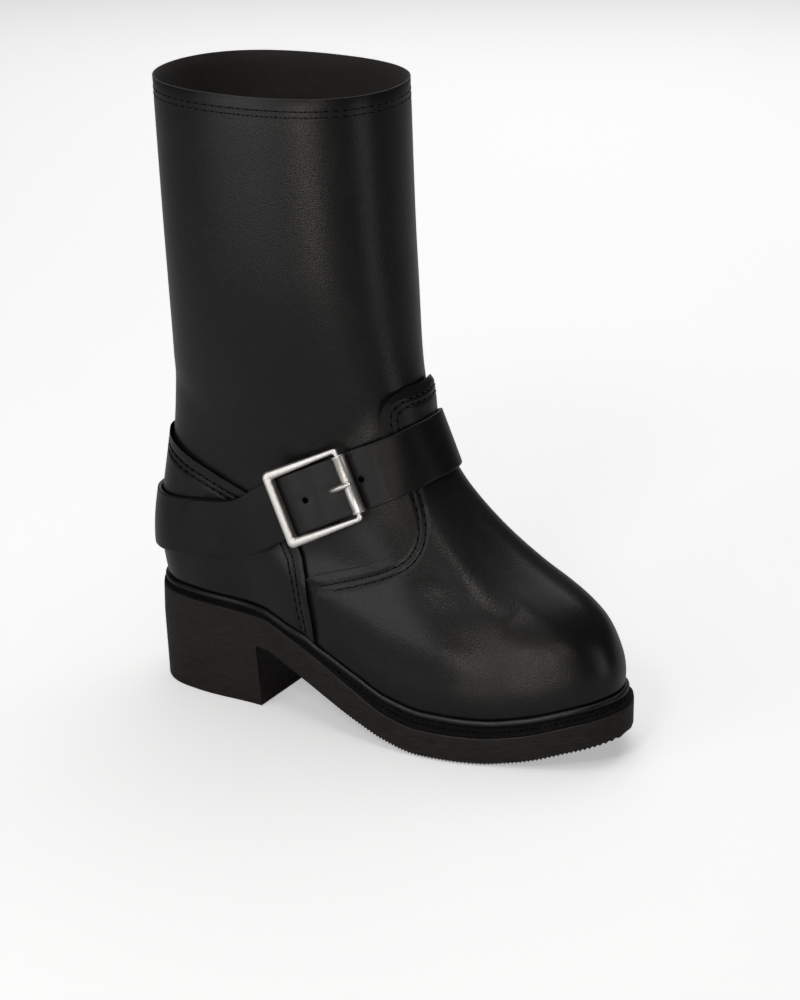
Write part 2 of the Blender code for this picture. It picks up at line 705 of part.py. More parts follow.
def build_strap(buckle, material, collection, cutters):
    """Strap in one piece: from the middle bar round the ankle, through the buckle and over itself."""
    sections = [strap_section(turn, buckle, STRAP_SHARES) for turn in strap_turns()]
    ahead = unit(np.gradient(np.array([inner[2] for inner, _ in sections]), axis=0))
    loops = []
    for (inner, normal), run in zip(sections, ahead):
        out = unit(normal - run * (normal @ run)[:, None])
        bottom = inner + out * STRAP_ROUNDING[:, None]
        top = inner + out * (STRAP_THICK - STRAP_ROUNDING[:, None])
        loops.append(np.concatenate((bottom, top[::-1])))
    strap = capped_loft("strap", loops, material, collection)
    for number, angle in enumerate(HOLE_ANGLES):
        spot, out = strap_spot(angle - 360, buckle)
        bpy.ops.mesh.primitive_cylinder_add(vertices=12, radius=HOLE_RADIUS * MM, depth=3 * STRAP_THICK * MM)
        punch = take_active("hole_%d" % number, cutters)
        punch.matrix_world = (Matrix.Translation(place(spot + out * STRAP_THICK / 2))
                              @ Vector(out).to_track_quat("Z", "Y").to_matrix().to_4x4())
        as_cutter(punch)
        boolean(strap, punch, "DIFFERENCE")
    return strap


def take_active(name, collection):
    """Move the object just made into a collection."""
    item = bpy.context.active_object
    item.name = name
    for owner in list(item.users_collection):
        owner.objects.unlink(item)
    collection.objects.link(item)
    return item


def rounded_rectangle(length, width, radius):
    """Closed loop of a rectangle with rounded corners."""
    points = []
    for quarter, (side_x, side_y) in enumerate(((1, 1), (-1, 1), (-1, -1), (1, -1))):
        for step in range(4):
            turn = math.radians(90 * quarter + 30 * step)
            points.append((side_x * (length / 2 - radius) + radius * math.cos(turn),
                           side_y * (width / 2 - radius) + radius * math.sin(turn)))
    return np.array(points)


def poly_rod(name, points, radius, material, collection):
    """Round rod along points, as a closed mesh."""
    curve = bpy.data.curves.new(name, "CURVE")
    curve.dimensions = "3D"
    curve.bevel_depth = radius * MM
    curve.bevel_resolution = 2
    curve.use_fill_caps = True
    spline = curve.splines.new("POLY")
    spline.points.add(len(points) - 1)
    for target, point in zip(spline.points, place(points)):
        target.co = (*point, 1.0)
    guide = bpy.data.objects.new(name + "_path", curve)
    collection.objects.link(guide)
    bpy.context.view_layer.update()
    evaluated = guide.evaluated_get(bpy.context.evaluated_depsgraph_get())
    mesh = bpy.data.meshes.new_from_object(evaluated)
    bpy.data.objects.remove(guide)
    shape = bmesh.new()
    shape.from_mesh(mesh)
    bmesh.ops.remove_doubles(shape, verts=shape.verts, dist=0.01 * MM)
    bmesh.ops.recalc_face_normals(shape, faces=shape.faces)
    shape.to_mesh(mesh)
    shape.free()
    mesh.materials.clear()
    mesh.materials.append(material)
    mesh.shade_smooth()
    rod = bpy.data.objects.new(name, mesh)
    collection.objects.link(rod)
    return rod


def build_buckle_frame(buckle, material, collection, cutters):
    """Square frame whose front bar is the roller's axle, with a sunken middle bar."""
    width = STRAP_WIDEST + 2 * BUCKLE_CLEARANCE + 2 * BUCKLE_BAR
    outer = rounded_rectangle(BUCKLE_LENGTH, width, BUCKLE_CORNER)
    inner = rounded_rectangle(BUCKLE_LENGTH - 2 * BUCKLE_BAR, width - 2 * BUCKLE_BAR, BUCKLE_INNER_CORNER)
    middle = (outer + inner) / 2
    front = middle[:, 0] > BUCKLE_LENGTH / 2 - BUCKLE_BAR
    thick = np.where(front, AXLE_THICK, BUCKLE_BAR)[:, None]
    reach = (outer - middle) * thick / BUCKLE_BAR
    loops = []
    for step in range(8):
        turn = math.radians(45 * step + 22.5)
        flat = middle + reach * math.cos(turn) * FRAME_SWELL
        rise = buckle.rise(flat[:, 0]) + math.sin(turn) * thick[:, 0] * FRAME_SWELL / 2
        loops.append(buckle.world(flat[:, 0], flat[:, 1], rise))
    frame = ring_loft("buckle_frame", loops, material, collection)
    side = (width - BUCKLE_BAR) / 2
    high = buckle.rise(0.0)
    corners = ((-side, high), (-side, buckle.bar), (side, buckle.bar), (side, high))
    staple = [buckle.world(0.0, across, height) for across, height in corners]
    bar = poly_rod("middle_bar", staple, MIDDLE_BAR_RADIUS, material, cutters)
    as_cutter(bar)
    boolean(frame, bar, "UNION")
    return frame


def build_buckle_roller(buckle, material, collection):
    """Roller tube on the frame's front bar."""
    turns = np.radians(np.arange(0, 360, 30))
    loops = []
    for end, radius in ((-1, ROLLER_BORE), (-1, ROLLER_RADIUS), (1, ROLLER_RADIUS), (1, ROLLER_BORE)):
        loops.append(buckle.world(buckle.bar_along + radius * np.cos(turns), end * ROLLER_LENGTH / 2,
                                  buckle.front + radius * np.sin(turns)))
    return ring_loft("buckle_roller", loops, material, collection)


def build_buckle_prong(buckle, material, collection):
    """Prong: hooked under the middle bar, up through the strap and onto the roller."""
    spot, out = strap_spot(HOLE_ANGLES[PRONG_HOLE] - 360, buckle)
    hole = spot + out * STRAP_THICK / 2
    clear = MIDDLE_BAR_RADIUS + GAP + PRONG_RADIUS
    top = buckle.front + ROLLER_RADIUS + GAP + PRONG_RADIUS
    path = [buckle.world(-PRONG_HOOK, 0.0, buckle.bar - clear),
            buckle.world(PRONG_HOOK, 0.0, buckle.bar - clear),
            buckle.world(clear, 0.0, buckle.bar - PRONG_HOOK),
            hole - out * STRAP_THICK,
            hole + out * STRAP_THICK,
            buckle.world(buckle.bar_along - PRONG_REST, 0.0, top + PRONG_BOW),
            buckle.world(buckle.bar_along, 0.0, top + PRONG_BOW / 2),
            buckle.world(buckle.bar_along + PRONG_REACH, 0.0, top - PRONG_DROP)]
    return poly_rod("buckle_prong", path, PRONG_RADIUS, material, collection)


def main():
    """Build the boot."""
    for item in list(bpy.data.objects):
        bpy.data.objects.remove(item)
    boot = new_collection("biker_boot")
    cutters = new_collection("cutters")
    leather = finish_material("black_leather", BLACK_LEATHER)
    strap_leather = finish_material("strap_leather", STRAP_LEATHER)
    rubber = finish_material("sole_rubber", SOLE_RUBBER)
    nickel = finish_material("brushed_nickel", BRUSHED_NICKEL)
    buckle = Buckle()
    build_outsole(rubber, boot)
    build_heel(rubber, boot)
    build_welt(finish_material("welt_leather", WELT_LEATHER), boot)
    build_insole(finish_material("insole_leather", INSOLE_LEATHER), boot)
    build_upper(leather, boot)
    build_vamp(leather, boot, cutters)
    build_counter(leather, boot, cutters)
    build_strap(buckle, strap_leather, boot, cutters)
    build_buckle_frame(buckle, nickel, boot, cutters)
    build_buckle_roller(buckle, nickel, boot)
    build_buckle_prong(buckle, nickel, boot)


if __name__ == "__main__":
    main()
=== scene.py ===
"""Looks of the biker boot: leather, stitching, sole and buckle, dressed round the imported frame.

Lengths are millimetres: x from the back of the heel to the toe, y from the heel's centre line (inner
side positive) and z up from the floor. Form.metres turns them into the frame's metres.
"""
import logging
import math
from collections.abc import Callable, Sequence
from dataclasses import dataclass
from enum import Enum
from typing import TypeVar

import bpy
import numpy as np
from bpy.types import Material, Node, NodeOutputs, NodeSocket, NodeTree, Object
from mathutils import Matrix, Vector


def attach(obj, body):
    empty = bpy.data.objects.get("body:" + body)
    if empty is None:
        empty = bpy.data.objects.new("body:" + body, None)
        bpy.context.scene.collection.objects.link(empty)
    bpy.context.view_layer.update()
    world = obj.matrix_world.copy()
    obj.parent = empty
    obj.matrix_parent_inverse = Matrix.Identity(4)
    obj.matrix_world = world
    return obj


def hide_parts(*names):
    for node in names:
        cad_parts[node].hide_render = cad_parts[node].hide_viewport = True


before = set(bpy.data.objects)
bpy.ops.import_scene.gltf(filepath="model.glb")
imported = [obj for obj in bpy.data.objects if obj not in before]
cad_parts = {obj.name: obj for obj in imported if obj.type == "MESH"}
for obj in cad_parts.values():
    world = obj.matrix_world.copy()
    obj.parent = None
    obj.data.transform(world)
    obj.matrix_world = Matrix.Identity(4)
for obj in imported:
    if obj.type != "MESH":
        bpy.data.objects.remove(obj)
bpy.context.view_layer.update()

LOG = logging.getLogger("biker_boot")
BODY = "root"
MM = 0.001
Array = np.ndarray
Curve = Callable[[Array], Array]
Row = TypeVar("Row")


class Side(Enum):
    """Side of the boot that a fold lies on."""

    OUTER = -1
    INNER = 1
    BOTH = 0


class Slot(Enum):
    """Material slots of the record."""

    LEATHER = "black_leather"
    STRAP = "strap_leather"
    RUBBER = "sole_rubber"
    WELT = "welt_leather"
    INSOLE = "insole_leather"
    NICKEL = "brushed_nickel"


@dataclass(frozen=True)
class PlanRow:
    """Half widths of the outsole's outline at a station along it."""

    x: float
    outer: float
    inner: float


@dataclass(frozen=True)
class ProfileRow:
    """Height of the outsole's underside, and its thickness, at a station."""

    x: float
    under: float
    thick: float


@dataclass(frozen=True)
class RingRow:
    """One section of the upper, from its back point to its front point."""

    back_x: float
    back_z: float
    front_x: float
    front_z: float
    heel_half: float
    ball_half: float
    foot: float
    follow: float


@dataclass(frozen=True)
class BeadRow:
    """Height of the welt's bead over the outsole at a station."""

    x: float
    height: float


@dataclass(frozen=True)
class Fold:
    """Soft trough or ridge of the leather along points of the side view, given by x and z."""

    side: Side
    path: tuple[tuple[float, float], ...]
    width: float
    depth: float


def ease(low: float, high: float, value: Array) -> Array:
    """Smooth step from 0 at low to 1 at high."""
    share = np.clip((value - low) / (high - low), 0, 1)
    return share * share * (3 - 2 * share)


def unit(vector: Array) -> Array:
    """Vectors of length 1."""
    return vector / np.linalg.norm(vector, axis=-1, keepdims=True)


def run_along(points: Array) -> Array:
    """Distances along a line of points."""
    return np.concatenate(([0], np.cumsum(np.linalg.norm(np.diff(points, axis=0), axis=1))))


def at_runs(spots: Array, run: Array, rows: Array) -> Array:
    """Rows of values at distances along a line."""
    return np.stack([np.interp(spots, run, column) for column in rows.T], -1)


def table(kind: type[Row], *rows: tuple[float, ...]) -> tuple[Row, ...]:
    """Rows of one kind from their plain numbers."""
    return tuple(kind(*row) for row in rows)


def natural_spline(knots: Array, rows: Array) -> Curve:
    """Smooth curve through rows of values.

    Args:
        knots: Increasing places of the rows.
        rows: One row of values at each knot.

    Returns:
        Function from places to rows of values.
    """
    step = np.diff(knots)[:, None]
    slope = np.diff(rows, axis=0) / step
    count = len(knots)
    matrix = np.eye(count)
    bend = np.zeros_like(rows)
    for i in range(1, count - 1):
        matrix[i, i - 1:i + 2] = step[i - 1, 0], 2 * (step[i - 1, 0] + step[i, 0]), step[i, 0]
        bend[i] = 6 * (slope[i] - slope[i - 1])
    bend = np.linalg.solve(matrix, bend)

    def at(value: Array) -> Array:
        """Rows of values at places.

        Args:
            value: Places.

        Returns:
            Rows of values.
        """
        i = np.clip(np.searchsorted(knots, value) - 1, 0, count - 2)
        run = (value - knots[i])[..., None]
        first = slope[i] - step[i] * (2 * bend[i] + bend[i + 1]) / 6
        return rows[i] + run * (first + run * (bend[i] / 2 + run * (bend[i + 1] - bend[i]) / (6 * step[i])))
    return at


def steady_curve(knots: Sequence[float], values: Sequence[float]) -> Curve:
    """Curve through values that never swings past them.

    Args:
        knots: Increasing places of the values.
        values: Value at each knot.

    Returns:
        Function from places to values.
    """
    knots = np.asarray(knots, float)
    values = np.asarray(values, float)
    step = np.diff(knots)
    slope = np.diff(values) / step
    tangent = np.concatenate(([slope[0]], np.zeros(len(knots) - 2), [slope[-1]]))
    for i in range(1, len(knots) - 1):
        if slope[i - 1] * slope[i] > 0:
            before = 2 * step[i] + step[i - 1]
            after = step[i] + 2 * step[i - 1]
            tangent[i] = (before + after) / (before / slope[i - 1] + after / slope[i])

    def at(value: Array) -> Array:
        """Values at places.

        Args:
            value: Places, held between the end knots.

        Returns:
            Values.
        """
        value = np.clip(value, knots[0], knots[-1])
        i = np.clip(np.searchsorted(knots, value) - 1, 0, len(knots) - 2)
        s = (value - knots[i]) / step[i]
        return (values[i] * (1 + 2 * s) * (1 - s) ** 2 + values[i + 1] * s * s * (3 - 2 * s)
                + step[i] * (tangent[i] * s * (1 - s) ** 2 + tangent[i + 1] * s * s * (s - 1)))
    return at


@dataclass
class Form:
    """Shape of the boot: the sole's outline and profile, and the face that all leather lies on."""

    length: float = 268.0
    middle: float = 132.0
    heel_half: float = 34.9
    ball_half: float = 49.5
    plan_widening: tuple[float, float] = (0.27, 0.64)
    ring_widening: tuple[float, float] = (0.20, 0.62)
    heel_bluntness: float = 1.1
    toe_bluntness: float = 0.97
    shaft_flatness: float = 0.18
    fold_fade: float = 0.7
    fold_blend: float = 4.0
    foot_levels: tuple[float, float, int] = (0.0, 0.14, 57)
    beside_rounds: int = 6
    plan: tuple[PlanRow, ...] = table(
        PlanRow, (12, 25.0, 25.0), (30, 31.7, 31.2), (74, 34.9, 33.6), (105, 40.3, 35.0), (140, 46.6, 40.5),
        (170, 49.5, 46.5), (195, 47.6, 49.8), (220, 39.5, 47.0), (245, 28.8, 37.2), (260, 18.2, 24.0),
    )
    profile: tuple[ProfileRow, ...] = table(
        ProfileRow, (0, 35.9, 16.4), (74, 34.1, 16.4), (95, 27.0, 17.0), (115, 18.8, 17.5), (135, 10.6, 16.8),
        (155, 3.7, 15.0), (176, 0.0, 14.8), (206, 0.0, 14.8), (225, 2.2, 15.0), (250, 8.6, 15.2),
        (268, 13.2, 15.2),
    )
    rings: tuple[RingRow, ...] = table(
        RingRow,
        (4.5, 52.8, 260.5, 27.3, 30.0, 43.0, 1.00, 1.00),
        (3.0, 61.0, 262.5, 39.5, 31.6, 44.6, 1.00, 0.96),
        (1.7, 69.0, 260.5, 52.6, 32.8, 44.2, 1.00, 0.86),
        (1.0, 77.0, 252.5, 66.0, 33.4, 42.0, 0.97, 0.66),
        (1.0, 84.0, 240.0, 77.0, 33.4, 38.8, 0.92, 0.42),
        (1.5, 92.0, 222.0, 87.0, 33.3, 35.7, 0.82, 0.22),
        (2.7, 102.0, 202.0, 99.5, 33.2, 34.5, 0.65, 0.08),
        (4.3, 115.0, 183.0, 115.0, 32.8, 33.7, 0.45, 0.0),
        (6.5, 131.0, 166.5, 133.5, 32.8, 33.7, 0.25, 0.0),
        (8.5, 149.0, 155.5, 155.5, 34.6, 35.8, 0.10, 0.0),
        (9.8, 170.0, 148.5, 179.5, 38.8, 39.8, 0.0, 0.0),
        (10.0, 195.0, 145.0, 203.0, 43.4, 44.0, 0.0, 0.0),
        (9.5, 225.0, 142.5, 230.0, 47.5, 47.5, 0.0, 0.0),
        (8.0, 260.0, 140.0, 262.0, 49.5, 49.5, 0.0, 0.0),
        (5.0, 328.0, 136.5, 330.0, 52.0, 52.0, 0.0, 0.0),
    )
    beads: tuple[BeadRow, ...] = table(
        BeadRow, (50, 5.8), (80, 6.1), (95, 7.0), (106, 8.4), (113, 7.6), (121, 8.1), (145, 8.7), (175, 8.8),
        (200, 8.3), (228, 8.8),
    )
    folds: tuple[Fold, ...] = (
        Fold(Side.OUTER, ((166, 124), (172, 112), (179, 102), (190, 90), (202, 80), (214, 72)), 6.5, 1.0),
        Fold(Side.OUTER, ((166, 90), (175, 77), (187, 66), (203, 58), (222, 54), (238, 56)), 9.0, -0.7),
        Fold(Side.OUTER, ((56, 142), (76, 147), (92, 147), (106, 143)), 7.0, 0.8),
        Fold(Side.OUTER, ((112, 146), (122, 153), (130, 164), (135, 178)), 6.5, -0.8),
        Fold(Side.INNER, ((70, 150), (96, 152), (120, 160)), 8.0, -0.7),
        Fold(Side.BOTH, ((44, 158), (26, 164), (12, 174)), 8.0, -0.6),
    )

    def __post_init__(self) -> None:
        """Fit the curves through the rows."""
        rows = np.array([list(vars(row).values()) for row in self.rings])
        stations = [row.x for row in self.profile]
        self.ring_at = natural_spline(np.linspace(0, 1, len(rows)), rows)
        self.under = steady_curve(stations, [row.under for row in self.profile])
        self.thick = steady_curve(stations, [row.thick for row in self.profile])
        self.bead = steady_curve([row.x for row in self.beads], [row.height for row in self.beads])
        self.outer_full = self.plan_fullness([row.outer for row in self.plan])
        self.inner_full = self.plan_fullness([row.inner for row in self.plan])

    def plan_fullness(self, halves: Sequence[float]) -> Curve:
        """How full one side of the outline is against a plain oval, along its length.

        Args:
            halves: Half widths of that side at the plan's stations.

        Returns:
            Curve over shares of the length.
        """
        along = np.array([row.x for row in self.plan]) / self.length
        full = np.array(halves) / (2 * np.sqrt(along * (1 - along)))
        full = np.concatenate(([full[0] * self.heel_bluntness], full, [full[-1] * self.toe_bluntness]))
        return steady_curve(np.concatenate(([0], along, [1])), full)

    def metres(self, points: Array) -> Array:
        """Points in the frame's metres."""
        return (np.asarray(points, float) - (self.middle, 0, 0)) * MM

    def top(self, x: Array) -> Array:
        """Height of the outsole's upper face."""
        return self.under(x) + self.thick(x)

    def fullness(self, angle: Array) -> Array:
        """Fullness of the outline on the side that an angle lies on."""
        along = (1 + np.cos(angle)) / 2
        return np.where(np.sin(angle) >= 0, self.inner_full(along), self.outer_full(along))

    def outline(self, angle: Array, inset: Array | float = 0.0) -> tuple[Array, Array]:
        """Outsole's outline at angles from the toe, moved inwards by an inset.

        Args:
            angle: Angles, 0 in front, inner side positive.
            inset: Distances inwards.

        Returns:
            Stations, and distances from the centre line.
        """
        inset = inset * np.ones_like(angle)
        x = inset + (1 + np.cos(angle)) / 2 * (self.length - 2 * inset)
        return x, np.sin(angle) * (self.fullness(angle) - inset)

    def point(self, level: Array, angle: Array) -> Array:
        """Point of the upper's plain face.

        Args:
            level: Levels, 0 at the feather line to 1 at the collar.
            angle: Angles, 0 in front, inner side positive.

        Returns:
            Points in millimetres.
        """
        level, angle = np.broadcast_arrays(np.asarray(level, float), np.asarray(angle, float))
        ring = RingRow(*np.moveaxis(self.ring_at(level), -1, 0))
        foot = np.clip(ring.foot, 0, 1)
        along = (1 + np.cos(angle)) / 2
        plain = self.heel_half + (self.ball_half - self.heel_half) * ease(*self.plan_widening, along)
        oval = 1 + self.shaft_flatness * np.cos(angle) ** 2
        half = ring.heel_half + (ring.ball_half - ring.heel_half) * ease(*self.ring_widening, along)
        x = ring.back_x + along * (ring.front_x - ring.back_x)
        y = np.sin(angle) * half * (foot * self.fullness(angle) / plain + (1 - foot) * oval)
        chord = self.top(ring.back_x) + along * (self.top(ring.front_x) - self.top(ring.back_x))
        z = ring.back_z + along * (ring.front_z - ring.back_z)
        return np.stack((x, y, z + np.clip(ring.follow, 0, 1) * (self.top(x) - chord)), -1)

    def slopes(self, level: Array, angle: Array, step: float = 0.002) -> tuple[Array, Array]:
        """Changes of the face's point round the angle and up the level.

        Args:
            level: Levels, 0 at the feather line to 1 at the collar.
            angle: Angles, 0 in front, inner side positive.
            step: Half of the difference that is measured over.

        Returns:
            Changes round the angle, and changes up the level.
        """
        level = np.clip(level, step, 1 - step)
        round_ring = (self.point(level, angle + step) - self.point(level, angle - step)) / (2 * step)
        up_level = (self.point(level + step, angle) - self.point(level - step, angle)) / (2 * step)
        return round_ring, up_level

    def normal(self, level: Array, angle: Array) -> Array:
        """Outward direction of the face."""
        return unit(np.cross(*self.slopes(level, angle)))

    def relief(self, points: Array) -> Array:
        """Height of the folds over the face.

        Args:
            points: Points of the plain face.

        Returns:
            Heights, positive outwards.
        """
        height = np.zeros(points.shape[:-1])
        flat = points[..., (0, 2)]
        for fold in self.folds:
            path = np.array(fold.path, float)
            nearest = np.full(height.shape, np.inf)
            fade = np.zeros(height.shape)
            runs = run_along(path)
            for start, end, before, after in zip(path[:-1], path[1:], runs[:-1], runs[1:]):
                leg = end - start
                share = np.clip(((flat - start) @ leg) / (leg @ leg), 0, 1)
                gap = np.linalg.norm(flat - start - share[..., None] * leg, axis=-1)
                along = (before + share * (after - before)) / runs[-1]
                swell = np.sin(np.pi * np.clip(along, 0, 1)) ** self.fold_fade
                fade = np.where(gap < nearest, swell, fade)
                nearest = np.minimum(gap, nearest)
            bump = fold.depth * np.exp(-(nearest / fold.width) ** 2) * fade
            if fold.side is not Side.BOTH:
                bump = bump * ease(-self.fold_blend, self.fold_blend, points[..., 1] * fold.side.value)
            height += bump
        return height

    def face(self, level: Array, angle: Array, lift: Array | float = 0.0) -> Array:
        """Point that stands off the folded face by a lift.

        Args:
            level: Levels, 0 at the feather line to 1 at the collar.
            angle: Angles, 0 in front, inner side positive.
            lift: Distances off the folded face.

        Returns:
            Points in millimetres.
        """
        base = self.point(level, angle)
        rise = self.relief(base) + lift
        return base + rise[..., None] * self.normal(level, angle)

    def level_over_bead(self, angle: Array, height: float) -> Array:
        """Level at which the face stands a height over the top of the welt's bead.

        Args:
            angle: Angles, 0 in front, inner side positive.
            height: Height over the bead's top.

        Returns:
            Levels at the angles.
        """
        levels = np.linspace(*self.foot_levels)
        faces = [self.point(levels, turn) for turn in np.ravel(angle)]
        found = [np.interp(height, face[:, 2] - self.top(face[:, 0]) - self.bead(face[:, 0]), levels)
                 for face in faces]
        return np.reshape(found, np.shape(angle))

    def beside(self, level: Array, angle: Array, offset: float) -> tuple[Array, Array]:
        """Line on the face that runs beside another one.

        Args:
            level: Levels along the line.
            angle: Angles along the line.
            offset: Distance to the left of the line's direction, seen from outside.

        Returns:
            Levels and angles of the new line.
        """
        start = self.point(level, angle)
        ahead = unit(np.gradient(start, axis=0))
        goal = start + offset * unit(np.cross(self.normal(level, angle), ahead))
        for _ in range(self.beside_rounds):
            round_ring, up_level = self.slopes(level, angle)
            miss = goal - self.point(level, angle)
            basis = np.stack((round_ring, up_level), -1)
            step = np.linalg.solve(np.swapaxes(basis, -1, -2) @ basis,
                                   (np.swapaxes(basis, -1, -2) @ miss[..., None]))[..., 0]
            angle = angle + step[:, 0]
            level = np.clip(level + step[:, 1], 0, 1)
        return level, angle


class Bench:
    """Operations that every piece is made with."""

    @staticmethod
    def clear() -> None:
        """Deselect everything."""
        bpy.ops.object.select_all(action="DESELECT")

    @staticmethod
    def take(name: str) -> Object:
        """Name the object just made.

        Args:
            name: Name for the object and its data.

        Returns:
            The object.
        """
        item = bpy.context.active_object
        item.name = name
        item.data.name = name
        return item

    @classmethod
    def only(cls, item: Object) -> None:
        """Select one object and make it active.

        Args:
            item: Object to select.
        """
        cls.clear()
        item.select_set(True)
        bpy.context.view_layer.objects.active = item

    @classmethod
    def weld(cls, item: Object, closed: bool, gap: float = 0.002) -> None:
        """Merge points that meet, and turn a closed shape's faces outwards.

        Args:
            item: Object to mend.
            closed: Whether the merged shape has an inside.
            gap: Largest distance that is merged, in millimetres.
        """
        cls.only(item)
        bpy.ops.object.mode_set(mode="EDIT")
        bpy.ops.mesh.select_all(action="SELECT")
        bpy.ops.mesh.remove_doubles(threshold=gap * MM)
        if closed:
            bpy.ops.mesh.normals_make_consistent(inside=False)
        bpy.ops.object.mode_set(mode="OBJECT")

    @classmethod
    def apply(cls, item: Object) -> None:
        """Apply all modifiers in order.

        Args:
            item: Object with modifiers.
        """
        cls.only(item)
        for modifier in list(item.modifiers):
            bpy.ops.object.modifier_apply(modifier=modifier.name)

    @staticmethod
    def move_points(item: Object, points: Array) -> None:
        """Put an object's points at places in metres."""
        item.data.vertices.foreach_set("co", np.ascontiguousarray(points, float).ravel())
        item.data.update()

    @classmethod
    def sheet(cls, name: str, columns: int, rows: int, mapping: Callable[[Array, Array], Array],
              wrap: bool = False, closed: bool = False) -> Object:
        """Grid laid on a surface.

        Args:
            name: Name of the piece.
            columns: Faces along the first share.
            rows: Faces along the second share.
            mapping: Function from shares 0 to 1 to points in metres.
            wrap: Whether the sheet's sides meet.
            closed: Whether the merged sheet encloses a solid.

        Returns:
            The new object.
        """
        cls.clear()
        bpy.ops.mesh.primitive_grid_add(x_subdivisions=columns, y_subdivisions=rows, size=2)
        item = cls.take(name)
        flat = np.empty(3 * len(item.data.vertices))
        item.data.vertices.foreach_get("co", flat)
        flat = (flat.reshape(-1, 3) + 1) / 2
        cls.move_points(item, mapping(flat[:, 0], flat[:, 1]))
        if wrap:
            cls.weld(item, closed)
        return item

    @classmethod
    def loft(cls, name: str, loops: Array) -> Object:
        """Closed solid through loops that end where they start.

        Args:
            name: Name of the piece.
            loops: Points in metres, by loop and by step round it. The end loops shrink to a line, or are
                the same.

        Returns:
            The new object.
        """
        rows, columns = loops.shape[0] - 1, loops.shape[1] - 1

        def mapping(across: Array, up: Array) -> Array:
            """Nearest point of the loops."""
            return loops[np.rint(up * rows).astype(int), np.rint(across * columns).astype(int)]
        return cls.sheet(name, columns, rows, mapping, wrap=True, closed=True)

    @classmethod
    def ring(cls, name: str, loops: Array) -> Object:
        """Closed ring through sections.

        Args:
            name: Name of the piece.
            loops: Points in metres, by step round the ring and by corner of the section.

        Returns:
            The new object.
        """
        return cls.loft(name, np.pad(loops, ((0, 1), (0, 1), (0, 0)), mode="wrap"))

    @staticmethod
    def wall(item: Object, thickness: float, rim_slot: int = 0, back_slot: int = 0) -> None:
        """Give a sheet a thickness on its inner side.

        Args:
            item: Sheet.
            thickness: Thickness in millimetres.
            rim_slot: Steps from a face's material slot to its rim's.
            back_slot: Steps from a face's material slot to its back's.
        """
        wall = item.modifiers.new("wall", "SOLIDIFY")
        wall.thickness = thickness * MM
        wall.offset = -1
        wall.use_even_offset = True
        wall.thickness_clamp = 2
        wall.material_offset = back_slot
        wall.material_offset_rim = rim_slot

    @staticmethod
    def soften(item: Object, width: float, segments: int = 2, angle: float = 50.0,
               slot: int = -1) -> None:
        """Round the sharp edges.

        Args:
            item: Object with sharp edges.
            width: Width of the rounding in millimetres.
            segments: Faces across the rounding.
            angle: Smallest angle in degrees that is rounded.
            slot: Material slot of the rounding, or -1 for that of the faces beside it.
        """
        edge = item.modifiers.new("edge", "BEVEL")
        edge.width = width * MM
        edge.segments = segments
        edge.limit_method = "ANGLE"
        edge.angle_limit = math.radians(angle)
        edge.material = slot

    @staticmethod
    def dress(item: Object, *materials: Material) -> None:
        """Give an object its materials.

        Args:
            item: Object to dress.
            materials: Its materials, by slot.
        """
        item.data.materials.clear()
        for material in materials:
            item.data.materials.append(material)

    @classmethod
    def hand_over(cls, item: Object, slot: Slot, *nodes: str, sharp: float = 40.0) -> None:
        """Shade a piece, and fix it to the boot in place of the nodes that it stands for.

        Args:
            item: Piece with its materials.
            slot: Slot of the record; not used.
            nodes: Nodes of the frame that it stands for.
            sharp: Angle in degrees above which its edges stay sharp.
        """
        cls.only(item)
        bpy.ops.object.shade_smooth_by_angle(angle=math.radians(sharp))
        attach(item, BODY)
        if nodes:
            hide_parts(*nodes)
        item.data.calc_loop_triangles()
        LOG.info("%s: %d triangles", item.name, len(item.data.loop_triangles))


@dataclass(frozen=True)
class Grain:
    """Size and depth of a surface's grain: marks for each metre, and bump strength."""

    scale: float
    depth: float = 0.0
    stretch: tuple[float, float, float] = (1.0, 1.0, 1.0)


class Nodes:
    """Maker of the nodes of one tree."""

    def __init__(self, tree: NodeTree) -> None:
        """Work on a tree."""
        self.tree = tree

    def feed(self, node: Node, inputs: dict[str | int, object]) -> None:
        """Link sockets to a node's inputs, or set their values.

        Args:
            node: Node to feed.
            inputs: Sockets or values of its inputs.
        """
        for key, value in inputs.items():
            if isinstance(value, NodeSocket):
                self.tree.links.new(value, node.inputs[key])
            else:
                node.inputs[key].default_value = value

    def add(self, kind: str, inputs: dict[str | int, object], **settings: object) -> NodeOutputs:
        """Make a node.

        Args:
            kind: Type of the shader node.
            inputs: Sockets or values of its inputs.
            settings: Its other properties.

        Returns:
            The node's outputs.
        """
        node = self.tree.nodes.new("ShaderNode" + kind)
        for name, value in settings.items():
            setattr(node, name, value)
        self.feed(node, inputs)
        return node.outputs

    def math(self, operation: str, first: object, second: object) -> NodeSocket:
        """Output of a Math node of two sockets or numbers."""
        return self.add("Math", {0: first, 1: second}, operation=operation)[0]

    def ramp(self, value: NodeSocket, span: tuple[float, float],
             ends: tuple[float, float] = (0.0, 1.0)) -> NodeSocket:
        """Value brought from a span to between two ends."""
        return self.add("MapRange", {"Value": value, "From Min": span[0], "From Max": span[1],
                                     "To Min": ends[0], "To Max": ends[1]})["Result"]


